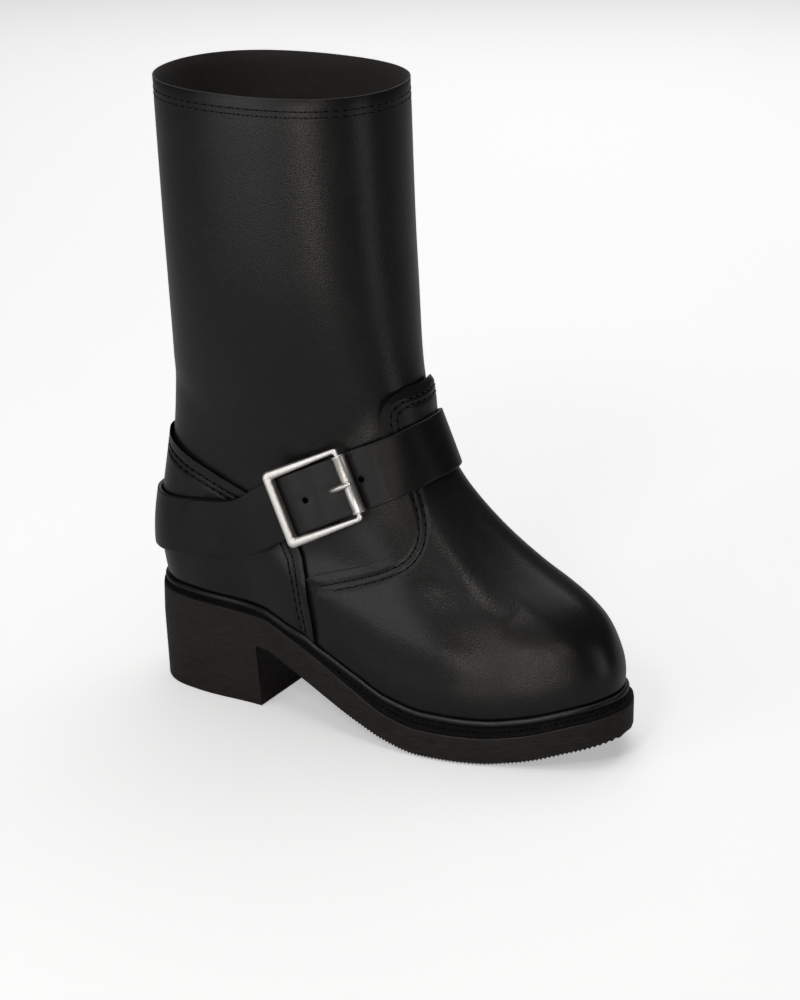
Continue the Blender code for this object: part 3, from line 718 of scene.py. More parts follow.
class Effects:
    """Shader node groups that several finishes share."""

    pebble_smoothness = 0.6
    fine_share = 0.35
    rubbed_span = (0.26, 0.42)
    streak_span = (0.35, 0.65)

    def __init__(self) -> None:
        """Make the groups."""
        self.grain = self.leather_grain()
        self.cloud = self.soft_cloud()
        self.streak = self.fine_streaks()

    @staticmethod
    def start(name: str, *results: str) -> tuple[Nodes, NodeOutputs, Node]:
        """Empty group that reads Object coordinates and a scale.

        Args:
            name: Name of the group.
            results: Names of its outputs.

        Returns:
            Maker of its nodes, sockets of its inputs, and its output node.
        """
        tree = bpy.data.node_groups.new(name, "ShaderNodeTree")
        tree.interface.new_socket(name="Vector", in_out="INPUT", socket_type="NodeSocketVector")
        tree.interface.new_socket(name="Scale", in_out="INPUT", socket_type="NodeSocketFloat")
        for label in results:
            tree.interface.new_socket(name=label, in_out="OUTPUT", socket_type="NodeSocketFloat")
        return Nodes(tree), tree.nodes.new("NodeGroupInput").outputs, tree.nodes.new("NodeGroupOutput")

    @staticmethod
    def noise(nodes: Nodes, inlet: NodeOutputs, finer: float = 1.0, detail: float = 3.0,
              roughness: float = 0.5) -> NodeSocket:
        """Noise at a multiple of the group's scale.

        Args:
            nodes: Maker of the group's nodes.
            inlet: Sockets of the group's inputs.
            finer: Multiple of the scale.
            detail: Number of finer layers.
            roughness: Strength of the finer layers.

        Returns:
            Socket of the noise.
        """
        scale = nodes.math("MULTIPLY", inlet["Scale"], finer)
        return nodes.add("TexNoise", {"Vector": inlet["Vector"], "Scale": scale, "Detail": detail,
                                      "Roughness": roughness})["Fac"]

    def leather_grain(self) -> NodeTree:
        """Fine pebbles of full-grain leather.

        Returns:
            The group.
        """
        nodes, inlet, outlet = self.start("leather_grain", "Height")
        cells = nodes.add("TexVoronoi", {"Vector": inlet["Vector"], "Scale": inlet["Scale"],
                                         "Smoothness": self.pebble_smoothness}, feature="SMOOTH_F1")
        pebble = nodes.math("SUBTRACT", 1.0, cells["Distance"])
        fine = nodes.math("MULTIPLY", self.noise(nodes, inlet, finer=2.3), self.fine_share)
        nodes.feed(outlet, {"Height": nodes.math("ADD", pebble, fine)})
        return nodes.tree

    def soft_cloud(self) -> NodeTree:
        """Broad soft unevenness, and sparse rubbed patches.

        Returns:
            The group.
        """
        nodes, inlet, outlet = self.start("soft_cloud", "Cloud", "Rubbed")
        cloud = self.noise(nodes, inlet, roughness=0.55)
        small = self.noise(nodes, inlet, finer=7.0, detail=5.0, roughness=0.65)
        rubbed = nodes.math("MULTIPLY", cloud, small)
        nodes.feed(outlet, {"Cloud": cloud, "Rubbed": nodes.ramp(rubbed, self.rubbed_span)})
        return nodes.tree

    def fine_streaks(self) -> NodeTree:
        """Fine streaks along a stretched direction.

        Returns:
            The group.
        """
        nodes, inlet, outlet = self.start("fine_streaks", "Height", "Mask")
        streak = self.noise(nodes, inlet, detail=4.0, roughness=0.6)
        nodes.feed(outlet, {"Height": streak, "Mask": nodes.ramp(streak, self.streak_span)})
        return nodes.tree


@dataclass(frozen=True)
class Finish:
    """Surface of one of the boot's materials."""

    name: str
    dark: tuple[float, float, float]
    light: tuple[float, float, float]
    roughness: tuple[float, float]
    grain: Grain
    streak: Grain | None = None
    cloud: float = 22.0
    cloud_span: tuple[float, float] = (0.3, 0.7)
    metallic: float = 0.0
    sheen: float = 0.0
    specular: float = 0.5

    def make(self, effects: Effects) -> Material:
        """Material in this finish.

        Args:
            effects: Groups that the finish reads.

        Returns:
            The new material.
        """
        material = bpy.data.materials.new(self.name)
        material.use_nodes = True
        nodes = Nodes(material.node_tree)
        place = nodes.add("TexCoord", {})["Object"]
        cloud = self.group(nodes, effects.cloud, place, Grain(self.cloud))
        mask = cloud["Rubbed"]
        bump = self.bump(nodes, self.group(nodes, effects.grain, place, self.grain), self.grain, {})
        if self.streak:
            streak = self.group(nodes, effects.streak, place, self.streak)
            mask = streak["Mask"]
            bump = self.bump(nodes, streak, self.streak, {"Normal": bump})
        tones = {"A": (*self.dark, 1.0), "B": (*self.light, 1.0), "Factor": mask}
        nodes.feed(material.node_tree.nodes["Principled BSDF"], {
            "Base Color": nodes.add("Mix", tones, data_type="RGBA")["Result"],
            "Roughness": nodes.ramp(cloud["Cloud"], self.cloud_span, self.roughness), "Normal": bump,
            "Metallic": self.metallic, "Sheen Weight": self.sheen, "Specular IOR Level": self.specular})
        return material

    @staticmethod
    def group(nodes: Nodes, kind: NodeTree, place: NodeSocket,
              grain: Grain) -> NodeOutputs:
        """Outputs of a shared group at a grain's scale and stretch."""
        stretch = nodes.add("Mapping", {"Vector": place, "Scale": grain.stretch})
        return nodes.add("Group", {"Vector": stretch["Vector"], "Scale": grain.scale}, node_tree=kind)

    @staticmethod
    def bump(nodes: Nodes, group: NodeOutputs, grain: Grain,
             before: dict[str, NodeSocket]) -> NodeSocket:
        """Normal of a grain's bumps, on top of earlier ones."""
        return nodes.add("Bump", {"Height": group["Height"], "Strength": grain.depth, "Distance": MM,
                                  **before})["Normal"]


class Finishes:
    """All finishes of the boot."""

    def __init__(self, effects: Effects) -> None:
        """Make the materials.

        Args:
            effects: Groups that the finishes share.
        """
        self.leather = Finish(
            "shaft_leather", (0.0085, 0.0082, 0.0079), (0.012, 0.0115, 0.011), (0.27, 0.32),
            Grain(1450.0, 0.10), specular=0.4).make(effects)
        # lighter finish for cut edges: partly the raw leather's own tone, partly painted highlight where the
        # edge catches the light
        self.cut_edge_and_highlight = Finish(
            "cut_edge_and_highlight", (0.030, 0.027, 0.024), (0.055, 0.05, 0.045), (0.55, 0.7),
            Grain(2400.0, 0.25)).make(effects)
        self.lining = Finish(
            "shaft_lining", (0.030, 0.026, 0.023), (0.04, 0.035, 0.03), (0.7, 0.85), Grain(1700.0, 0.3),
            sheen=0.15).make(effects)
        self.strap = Finish(
            "belt_leather", (0.007, 0.0067, 0.0064), (0.010, 0.0096, 0.0093), (0.30, 0.36),
            Grain(1700.0, 0.06), specular=0.36).make(effects)
        self.thread = Finish(
            "black_thread", (0.0075, 0.0072, 0.007), (0.014, 0.0135, 0.013), (0.45, 0.6), Grain(5200.0, 0.4),
            specular=0.3).make(effects)
        # near-black needle holes: painted shade inside the holes between stitches
        self.needle_hole_shade = Finish(
            "needle_hole_shade", (0.0012, 0.0011, 0.0011), (0.002, 0.0019, 0.0018), (0.9, 1.0), Grain(5200.0, 0.2),
            specular=0.05).make(effects)
        self.sewing = (self.thread, self.needle_hole_shade)
        self.rubber = Finish(
            "sole_edge_rubber", (0.0058, 0.0045, 0.0037), (0.0225, 0.0178, 0.0150), (0.50, 0.66),
            Grain(1000.0, 0.2), Grain(330.0, 0.6, (0.45, 0.45, 4.5)), specular=0.4).make(effects)
        # lighter finish for the outsole's upper edge and the heel's rounded edges: painted highlight
        self.highlit_edge = Finish(
            "painted_edge_highlight", (0.018, 0.016, 0.0146), (0.031, 0.0277, 0.0253), (0.42, 0.5),
            Grain(1500.0, 0.1)).make(effects)
        self.welt = Finish(
            "waxed_welt", (0.004, 0.0038, 0.0036), (0.007, 0.0067, 0.0064), (0.30, 0.38), Grain(1800.0, 0.10),
            specular=0.4).make(effects)
        # lighter crest of the welt's bead: partly rubbed wear, partly painted highlight on its top
        self.welt_wear_and_highlight = Finish(
            "welt_wear_and_highlight", (0.007, 0.0065, 0.0061), (0.014, 0.0129, 0.012), (0.28, 0.36), Grain(1800.0, 0.10),
            specular=0.6).make(effects)
        # dark stitched strip of the welt in its own tone; also used on the lip as painted shade of the groove
        # above the bead
        self.welt_strip_and_groove_shade = Finish(
            "welt_strip_and_groove_shade", (0.0018, 0.0017, 0.0016), (0.0075, 0.0069, 0.0064), (0.6, 0.75), Grain(1300.0, 0.6),
            cloud=60.0, specular=0.18).make(effects)
        self.insole = Finish(
            "insole_cover", (0.03, 0.025, 0.021), (0.042, 0.035, 0.03), (0.65, 0.8),
            Grain(1300.0, 0.25)).make(effects)
        # dark steel for the middle bar: painted shade, as the bar lies hidden under the strap
        self.painted_shade_steel = Finish(
            "painted_shade_steel", (0.03, 0.029, 0.028), (0.05, 0.048, 0.046), (0.5, 0.6), Grain(1800.0, 0.05),
            metallic=1.0).make(effects)
        self.nickel = Finish(
            "satin_nickel", (0.86, 0.83, 0.79), (0.93, 0.90, 0.865), (0.32, 0.40), Grain(1800.0, 0.02),
            Grain(900.0, 0.05, (1.0, 6.0, 1.0)), metallic=1.0).make(effects)


@dataclass(frozen=True)
class EdgeRow:
    """Half angle that an overlay covers at a level."""

    level: float
    half_angle: float


@dataclass
class Thread:
    """Rows of stitches between needle holes: sizes in millimetres."""

    pitch: float = 4.9
    length: float = 3.3
    width: float = 0.85
    sink: float = 0.15
    hole_length: float = 2.1
    hole_width: float = 0.75
    rings: int = 5
    sides: int = 6
    end_share: float = 0.45
    bow: float = 1.6

    def pattern(self) -> tuple[Array, list[tuple[int, ...]]]:
        """Points and faces of one stitch of unit size that lies along x.

        Returns:
            Points, and the points of each face.
        """
        Bench.clear()
        bpy.ops.mesh.primitive_cylinder_add(vertices=self.sides, radius=1, depth=2, end_fill_type="NGON")
        bpy.ops.object.mode_set(mode="EDIT")
        for height in np.linspace(-1, 1, self.rings)[1:-1]:
            bpy.ops.mesh.select_all(action="SELECT")
            bpy.ops.mesh.bisect(plane_co=(0, 0, height), plane_no=(0, 0, 1))
        bpy.ops.object.mode_set(mode="OBJECT")
        sample = bpy.context.active_object
        points = np.array([tuple(v.co) for v in sample.data.vertices])
        faces = [tuple(p.vertices) for p in sample.data.polygons]
        bpy.data.objects.remove(sample)
        swell = self.end_share + (1 - self.end_share) * np.sqrt(np.clip(1 - points[:, 2:] ** 2, 0, 1))
        return np.concatenate((points[:, 2:], points[:, :2] * swell), axis=1), faces

    def sew(self, name: str, form: Form, rows: Sequence[tuple[Array, Array]],
            materials: Sequence[Material], slot: Slot) -> None:
        """Lay stitches along rows, with a needle hole between each and the next.

        Args:
            name: Name of the piece.
            form: Form that turns millimetres to metres.
            rows: Points along each row and the directions out of the leather there.
            materials: Materials of the thread and of the holes' painted shade.
            slot: Slot of the record.
        """
        pattern, pattern_faces = self.pattern()
        stitch = np.array((self.length, self.width, self.width)) / 2
        hole = np.array((self.hole_length, self.hole_width, self.hole_width)) / 2
        drop = self.sink * (1 + self.bow * pattern[:, :1] ** 2) * (0, 0, 1)
        # every second shape is a sunk dark hole mark: painted shade of the needle hole
        shapes = (pattern * stitch - drop, pattern * hole - (0, 0, self.sink))
        places: list[Array] = []
        faces: list[tuple[int, ...]] = []
        slots: list[int] = []
        for points, normals in rows:
            run = run_along(points)
            count = max(1, int(run[-1] / self.pitch))
            spots = np.arange(0.5, count, 0.5) * run[-1] / count
            where = at_runs(spots, run, points)
            out = unit(at_runs(spots, run, normals))
            ahead = at_runs(spots, run, np.gradient(points, run, axis=0))
            ahead = unit(ahead - out * (ahead * out).sum(axis=1)[:, None])
            for step, (spot, x_axis, z_axis) in enumerate(zip(where, ahead, out)):
                basis = np.stack((x_axis, np.cross(z_axis, x_axis), z_axis))
                start = len(places) * len(pattern)
                places.append(spot + shapes[step % 2] @ basis)
                faces.extend(tuple(start + k for k in face) for face in pattern_faces)
                slots.extend([step % 2] * len(pattern_faces))
        mesh = bpy.data.meshes.new(name)
        mesh.from_pydata(form.metres(np.concatenate(places)).tolist(), [], faces)
        item = bpy.data.objects.new(name, mesh)
        bpy.context.scene.collection.objects.link(item)
        Bench.weld(item, closed=True, gap=0.0001)
        Bench.dress(item, *materials)
        item.data.polygons.foreach_set("material_index", np.array(slots, np.int32))
        Bench.hand_over(item, slot, sharp=60)


@dataclass
class Shaft:
    """Upper: one leather wall from the feather line to the collar, open at both ends."""

    form: Form
    columns: int = 230
    rows: int = 168
    wall: float = 2.0
    collar_rows: tuple[float, ...] = (5.0, 8.0)
    collar_level: float = 0.999
    collar_steps: int = 400
    groove: float = 0.35
    groove_width: float = 1.3
    thread_rise: float = 0.25
    edge: float = 0.7

    def mapping(self, across: Array, up: Array) -> Array:
        """Point in metres at shares round and up the shaft.

        Args:
            across: Shares round the piece.
            up: Shares up the piece.

        Returns:
            Points in metres.
        """
        angle = 2 * np.pi * across
        points = self.form.point(up, angle)
        below = self.form.point(np.ones_like(up), angle)[:, 2] - points[:, 2]
        hollows = sum(np.exp(-((below - row) / self.groove_width) ** 2) for row in self.collar_rows)
        return self.form.metres(self.form.face(up, angle, -self.groove * hollows))

    def build(self, finishes: Finishes) -> None:
        """Make the wall and its lining side.

        Args:
            finishes: Finishes of the boot.
        """
        item = Bench.sheet("shaft_and_foot", self.columns, self.rows, self.mapping, wrap=True)
        Bench.dress(item, finishes.leather, finishes.lining, finishes.cut_edge_and_highlight)
        Bench.wall(item, self.wall, rim_slot=2, back_slot=1)
        Bench.soften(item, self.edge)
        Bench.apply(item)
        Bench.hand_over(item, Slot.LEATHER, "upper")

    def sew(self, finishes: Finishes) -> None:
        """Stitch the collar.

        Args:
            finishes: Finishes of the boot.
        """
        angle = np.linspace(0, 2 * np.pi, self.collar_steps)
        rows = []
        for row in self.collar_rows:
            level, turn = self.form.beside(np.full_like(angle, self.collar_level), angle, -row)
            line = self.form.face(level, turn, self.thread_rise - self.groove)
            rows.append((line, self.form.normal(level, turn)))
        Thread().sew("collar_stitches", self.form, rows, finishes.sewing, Slot.LEATHER)


@dataclass
class Overlay:
    """Leather panel cut to an edge that lies on the upper about a centre angle."""

    form: Form
    name: str
    node: str
    edge: tuple[EdgeRow, ...]
    centre: float
    columns: int
    rows: int
    stitch_rows: tuple[float, ...]
    lowest_stitch: float
    gap: float = 0.5
    thick: float = 1.8
    foot_gap: float = 0.8
    foot_skive: float = 1.1
    foot_run: tuple[float, float] = (36.0, 16.0)
    tab_lift: float = 0.0
    tab_rise: float = 0.07
    tab_roll: float = 0.018
    tab_drop: float = 1.2
    tuck: float = 0.0
    skive: float = 0.0
    skive_run: tuple[float, float] = (9.0, 3.0)
    overlap: float = 0.0
    overlap_run: tuple[float, float] = (10.0, 2.0)
    lap_level: float = 0.26
    lap_blend: float = 0.02
    groove: float = 0.4
    groove_width: float = 1.15
    thread_rise: float = 0.3
    round_edge: float = 0.5
    light_edge_above: float = 1000.0
    foot_turns: tuple[int, int] = (-200, 380)
    level_steps: int = 500
    side_steps: int = 260
    top_steps: int = 40
    batch: int = 3000

    def __post_init__(self) -> None:
        """Lay out the panel's cut edge and its foot."""
        halves = [row.half_angle for row in self.edge]
        self.plain_half = steady_curve([row.level for row in self.edge], halves)
        first, last = self.foot_turns
        turns = np.radians(np.linspace(first, last, last - first + 1))
        self.foot = steady_curve(turns, self.form.level_over_bead(turns, self.foot_gap))
        self.levels = np.linspace(self.edge[0].level, self.edge[-1].level, self.level_steps)
        self.run = run_along(self.form.point(self.levels, np.radians(self.centre - self.half(self.levels))))
        side = self.level_of(np.linspace(0, 1, self.side_steps))
        half = np.radians(self.half(side))
        middle = math.radians(self.centre)
        across = np.linspace(-1, 1, self.top_steps)[1:-1]
        self.contour_level = np.concatenate((side, np.full_like(across, side[-1]), side[::-1]))
        top = middle + across * half[-1]
        self.contour_angle = np.concatenate((middle - half, top, (middle + half)[::-1]))

    def lapped(self, level: Array) -> Array:
        """Share of a lapped seam at a level: 1 where the panel meets its neighbour."""
        return ease(self.lap_level + self.lap_blend, self.lap_level - self.lap_blend, level)

    def half(self, level: Array) -> Array:
        """Half angle that the panel covers at a level, with its lapped seam."""
        return self.plain_half(level) + self.tuck * self.lapped(level)

    def level_of(self, share: Array) -> Array:
        """Level at a share of the cut edge's run up one side."""
        return np.interp(share * self.run[-1], self.run, self.levels)

    def lift(self, level: Array, angle: Array, near: Array) -> Array:
        """Height of the panel's outer face over the upper, at a distance from its cut edge.

        Args:
            level: Levels, 0 at the feather line to 1 at the collar.
            angle: Angles, 0 in front, inner side positive.
            near: Distances from the cut edge.

        Returns:
            Heights in millimetres.
        """
        base = self.form.point(level, angle)
        over_bead = base[:, 2] - self.form.top(base[:, 0]) - self.form.bead(base[:, 0])
        top = self.edge[-1].level
        roll = top - self.tab_roll
        tab = ease(top - self.tab_rise, roll, level) - self.tab_drop * ease(roll, top, level)
        lap = self.overlap * ease(*self.overlap_run, near) - self.skive * ease(*self.skive_run, near)
        foot = self.foot_skive * ease(*self.foot_run, over_bead)
        return self.gap + self.thick + self.tab_lift * tab + lap * self.lapped(level) - foot

    def edge_distance(self, points: Array) -> Array:
        """Distance of points from the panel's cut edge.

        Args:
            points: Points of the plain face.

        Returns:
            Distances in millimetres.
        """
        contour = self.form.point(self.contour_level, self.contour_angle)
        parts = [np.linalg.norm(part[:, None] - contour, axis=-1).min(axis=1)
                 for part in np.array_split(points, max(1, len(points) // self.batch))]
        return np.concatenate(parts)

    def mapping(self, across: Array, up: Array) -> Array:
        """Point in metres at shares across and up the panel.

        Args:
            across: Shares round the piece.
            up: Shares up the piece.

        Returns:
            Points in metres.
        """
        level = self.level_of(up)
        angle = np.radians(self.centre + (2 * across - 1) * self.half(level))
        level = level + (self.foot(angle) - self.edge[0].level) * (1 - up) ** 3
        near = self.edge_distance(self.form.point(level, angle))
        lift = self.lift(level, angle, near)
        for row in self.stitch_rows:
            lift = lift - self.groove * np.exp(-((near - row) / self.groove_width) ** 2)
        return self.form.metres(self.form.face(level, angle, lift))

    def build(self, finishes: Finishes) -> None:
        """Make the panel. Its edges keep the lighter edge finish only above a height; that finish is partly
        the raw edge's own tone and partly painted highlight.

        Args:
            finishes: Finishes of the boot.
        """
        item = Bench.sheet(self.name, self.columns, self.rows, self.mapping)
        Bench.dress(item, finishes.leather, finishes.cut_edge_and_highlight)
        Bench.wall(item, self.thick, rim_slot=1)
        Bench.soften(item, self.round_edge, slot=1)
        Bench.apply(item)
        # below the height the edges go back to plain leather; above it the lighter edge finish is partly
        # painted highlight
        for face in item.data.polygons:
            if face.center.z < self.light_edge_above * MM:
                face.material_index = 0
        Bench.hand_over(item, Slot.LEATHER, self.node)

    def sew(self, finishes: Finishes) -> None:
        """Stitch rows beside the cut edge, above the lowest stitch's level.

        Args:
            finishes: Finishes of the boot.
        """
        rows = []
        for row in self.stitch_rows:
            level, angle = self.form.beside(self.contour_level, self.contour_angle, -row)
            keep = level > self.lowest_stitch
            level, angle = level[keep], angle[keep]
            lift = self.lift(level, angle, np.full_like(level, row)) - self.groove + self.thread_rise
            rows.append((self.form.face(level, angle, lift), self.form.normal(level, angle)))
        Thread().sew(self.name + "_stitches", self.form, rows, finishes.sewing, Slot.LEATHER)


@dataclass
class Sole:
    """Outsole and heel block."""

    form: Form
    half_steps: int = 760
    edge: float = 1.0
    edge_steps: int = 4
    side_rows: int = 5
    rib_pitch: float = 1.9
    rib_depth: float = 1.2
    recess: float = 1.4
    rib_start: tuple[float, float] = (112.0, 150.0)
    heel_steps: int = 150
    breast_steps: int = 24
    breast_top: float = 71.5
    breast_base: float = 74.0
    heel_taper: float = 1.9
    heel_edge: float = 0.8
    heel_round: float = 0.45
    seam: float = 0.02
    fade: float = 14.0
    tread_shares: tuple[float, ...] = (0.0, 0.3, 0.6, 0.85)
    top_shares: tuple[float, ...] = (0.8, 0.4, 0.0)
    heel_tread_shares: tuple[float, ...] = (0.0, 0.5, 0.9)
    heel_side_shares: tuple[float, ...] = (0.3, 0.6, 0.9, 1.0)
    heel_top_shares: tuple[float, ...] = (0.6, 0.0)
    highlight_depth: float = 1.05
    highlight_slope: tuple[float, float] = (0.3, 0.9)
    sharp: float = 35.0
    outline_steps: int = 4001

    def even_angles(self, count: int) -> Array:
        """Angles round the outline in even steps, in pairs that face each other across it.

        Args:
            count: Steps along one side.

        Returns:
            Angles from the toe round to the toe.
        """
        turn = np.linspace(0, np.pi, self.outline_steps)
        x, inner = self.form.outline(turn)
        _, outer = self.form.outline(-turn)
        sideways = (np.abs(np.diff(inner)) + np.abs(np.diff(outer))) / 2
        run = np.concatenate(([0], np.cumsum(np.hypot(np.diff(x), sideways))))
        half = np.interp(np.linspace(0, run[-1], count + 1), run, turn)
        return np.concatenate((half, 2 * np.pi - half[-2::-1]))

    def rib(self, x: Array) -> Array:
        """Height of the fine ribs across the tread over its lowest line."""
        wave = np.abs((x / self.rib_pitch) % 1 - 0.5) * 2
        return self.rib_depth * wave * ease(*self.rib_start, x)

    def tread(self, x: Array, share: float = 1.0) -> Array:
        """Height of the tread over its lowest line: fine ribs, and a share of the recess inside the rim."""
        return self.rib(x) + self.recess * ease(*self.rib_start, x) * share

    def outsole_loops(self, angle: Array) -> list[Array]:
        """Loops from the middle of the underside, round the edge, to the middle of the upper face.

        Args:
            angle: Angles round the outline.

        Returns:
            Points of each loop.
        """
        x, _ = self.form.outline(angle)
        soft = ease(self.breast_base, self.breast_base + self.fade, x)
        bend = np.linspace(0, np.pi / 2, self.edge_steps)
        loops = []
        for share in self.tread_shares:
            x, y = self.form.outline(angle, self.edge * soft)
            loops.append(np.stack((x, y * share, self.form.under(x) + self.tread(x)), -1))
        for turn in bend:
            x, y = self.form.outline(angle, self.edge * soft * (1 - math.sin(turn)))
            z = self.form.under(x) + self.tread(x, (1 - math.sin(turn)) ** 2)
            loops.append(np.stack((x, y, z + self.edge * soft * (1 - math.cos(turn))), -1))
        x, y = self.form.outline(angle)
        low = self.form.under(x) + self.edge * soft + self.rib(x)
        high = self.form.top(x) - self.edge
        for share in np.linspace(0, 1, self.side_rows + 1)[1:]:
            loops.append(np.stack((x, y, low + share * (high - low)), -1))
        for turn in bend[1:]:
            x, y = self.form.outline(angle, self.edge * (1 - math.cos(turn)))
            loops.append(np.stack((x, y, self.form.top(x) - self.edge * (1 - math.sin(turn))), -1))
        for share in self.top_shares:
            loops.append(np.stack((x, y * share, self.form.top(x)), -1))
        return loops

    def heel_loop(self, inset: float, breast: float, height: float | None, share: float) -> Array:
        """Outline of the heel behind its breast, drawn in towards its middle line.

        Args:
            inset: Distance in from the outsole's outline.
            breast: Station of the breast.
            height: Height over the floor, or None under the outsole.
            share: Share of the full width.

        Returns:
            Points of the loop.
        """
        corner = math.acos(2 * (breast - inset) / (self.form.length - 2 * inset) - 1)
        turn = np.linspace(corner, 2 * np.pi - corner, self.heel_steps + 1)
        x, y = self.form.outline(turn, inset)
        across = np.linspace(y[-1], y[0], self.breast_steps + 1)[1:]
        x = np.concatenate((x, np.full_like(across, x[-1])))
        y = np.concatenate((y, across)) * share
        z = self.form.under(x) - self.seam if height is None else np.full_like(x, height)
        return np.stack((x, y, z), -1)

    def heel_loops(self) -> list[Array]:
        """Loops of the heel from the middle of its tread to the middle of its top.

        Returns:
            Points of each loop.
        """
        edge, taper = self.heel_edge, self.heel_taper
        base = (taper + edge, self.breast_base - edge, 0.0)
        loops = [self.heel_loop(*base, share) for share in self.heel_tread_shares]
        for turn in np.linspace(0, np.pi / 2, self.edge_steps):
            back, height = edge * (1 - math.sin(turn)), edge * (1 - math.cos(turn))
            loops.append(self.heel_loop(taper + back, self.breast_base - back, height, 1.0))
        top = self.heel_loop(0.0, self.breast_top, None, 1.0)
        low = loops[-1]
        loops.extend(low + share * (top - low) for share in self.heel_side_shares)
        loops.extend(self.heel_loop(0.0, self.breast_top, None, share) for share in self.heel_top_shares)
        return loops

    def build(self, finishes: Finishes) -> None:
        """Make the outsole and the heel.

        Args:
            finishes: Finishes of the boot.
        """
        loops = self.outsole_loops(self.even_angles(self.half_steps))
        pieces = (("ribbed_outsole", "outsole", loops), ("heel_block", "heel", self.heel_loops()))
        for name, node, shape in pieces:
            item = Bench.loft(name, self.form.metres(np.array(shape)))
            Bench.dress(item, finishes.rubber, finishes.highlit_edge)
            if node == "heel":
                # the heel's rounded edges take the lighter finish: painted highlight
                Bench.soften(item, self.heel_round, slot=1)
                Bench.apply(item)
            else:
                self.paint_sole_highlight(item)
            Bench.hand_over(item, Slot.RUBBER, node, sharp=self.sharp)

    def paint_sole_highlight(self, item: Object) -> None:
        """Give the upward-facing faces of the outsole's upper edge a lighter finish: a painted highlight.

        Args:
            item: Outsole.
        """
        count = len(item.data.polygons)
        centre, normal = np.empty(3 * count), np.empty(3 * count)
        item.data.polygons.foreach_get("center", centre)
        item.data.polygons.foreach_get("normal", normal)
        centre = centre.reshape(-1, 3) / MM + (self.form.middle, 0, 0)
        up = normal.reshape(-1, 3)[:, 2]
        high = centre[:, 2] > self.form.top(centre[:, 0]) - self.highlight_depth * self.edge
        slots = (high & (up > self.highlight_slope[0]) & (up < self.highlight_slope[1])).astype(np.int32)
        item.data.polygons.foreach_set("material_index", slots)


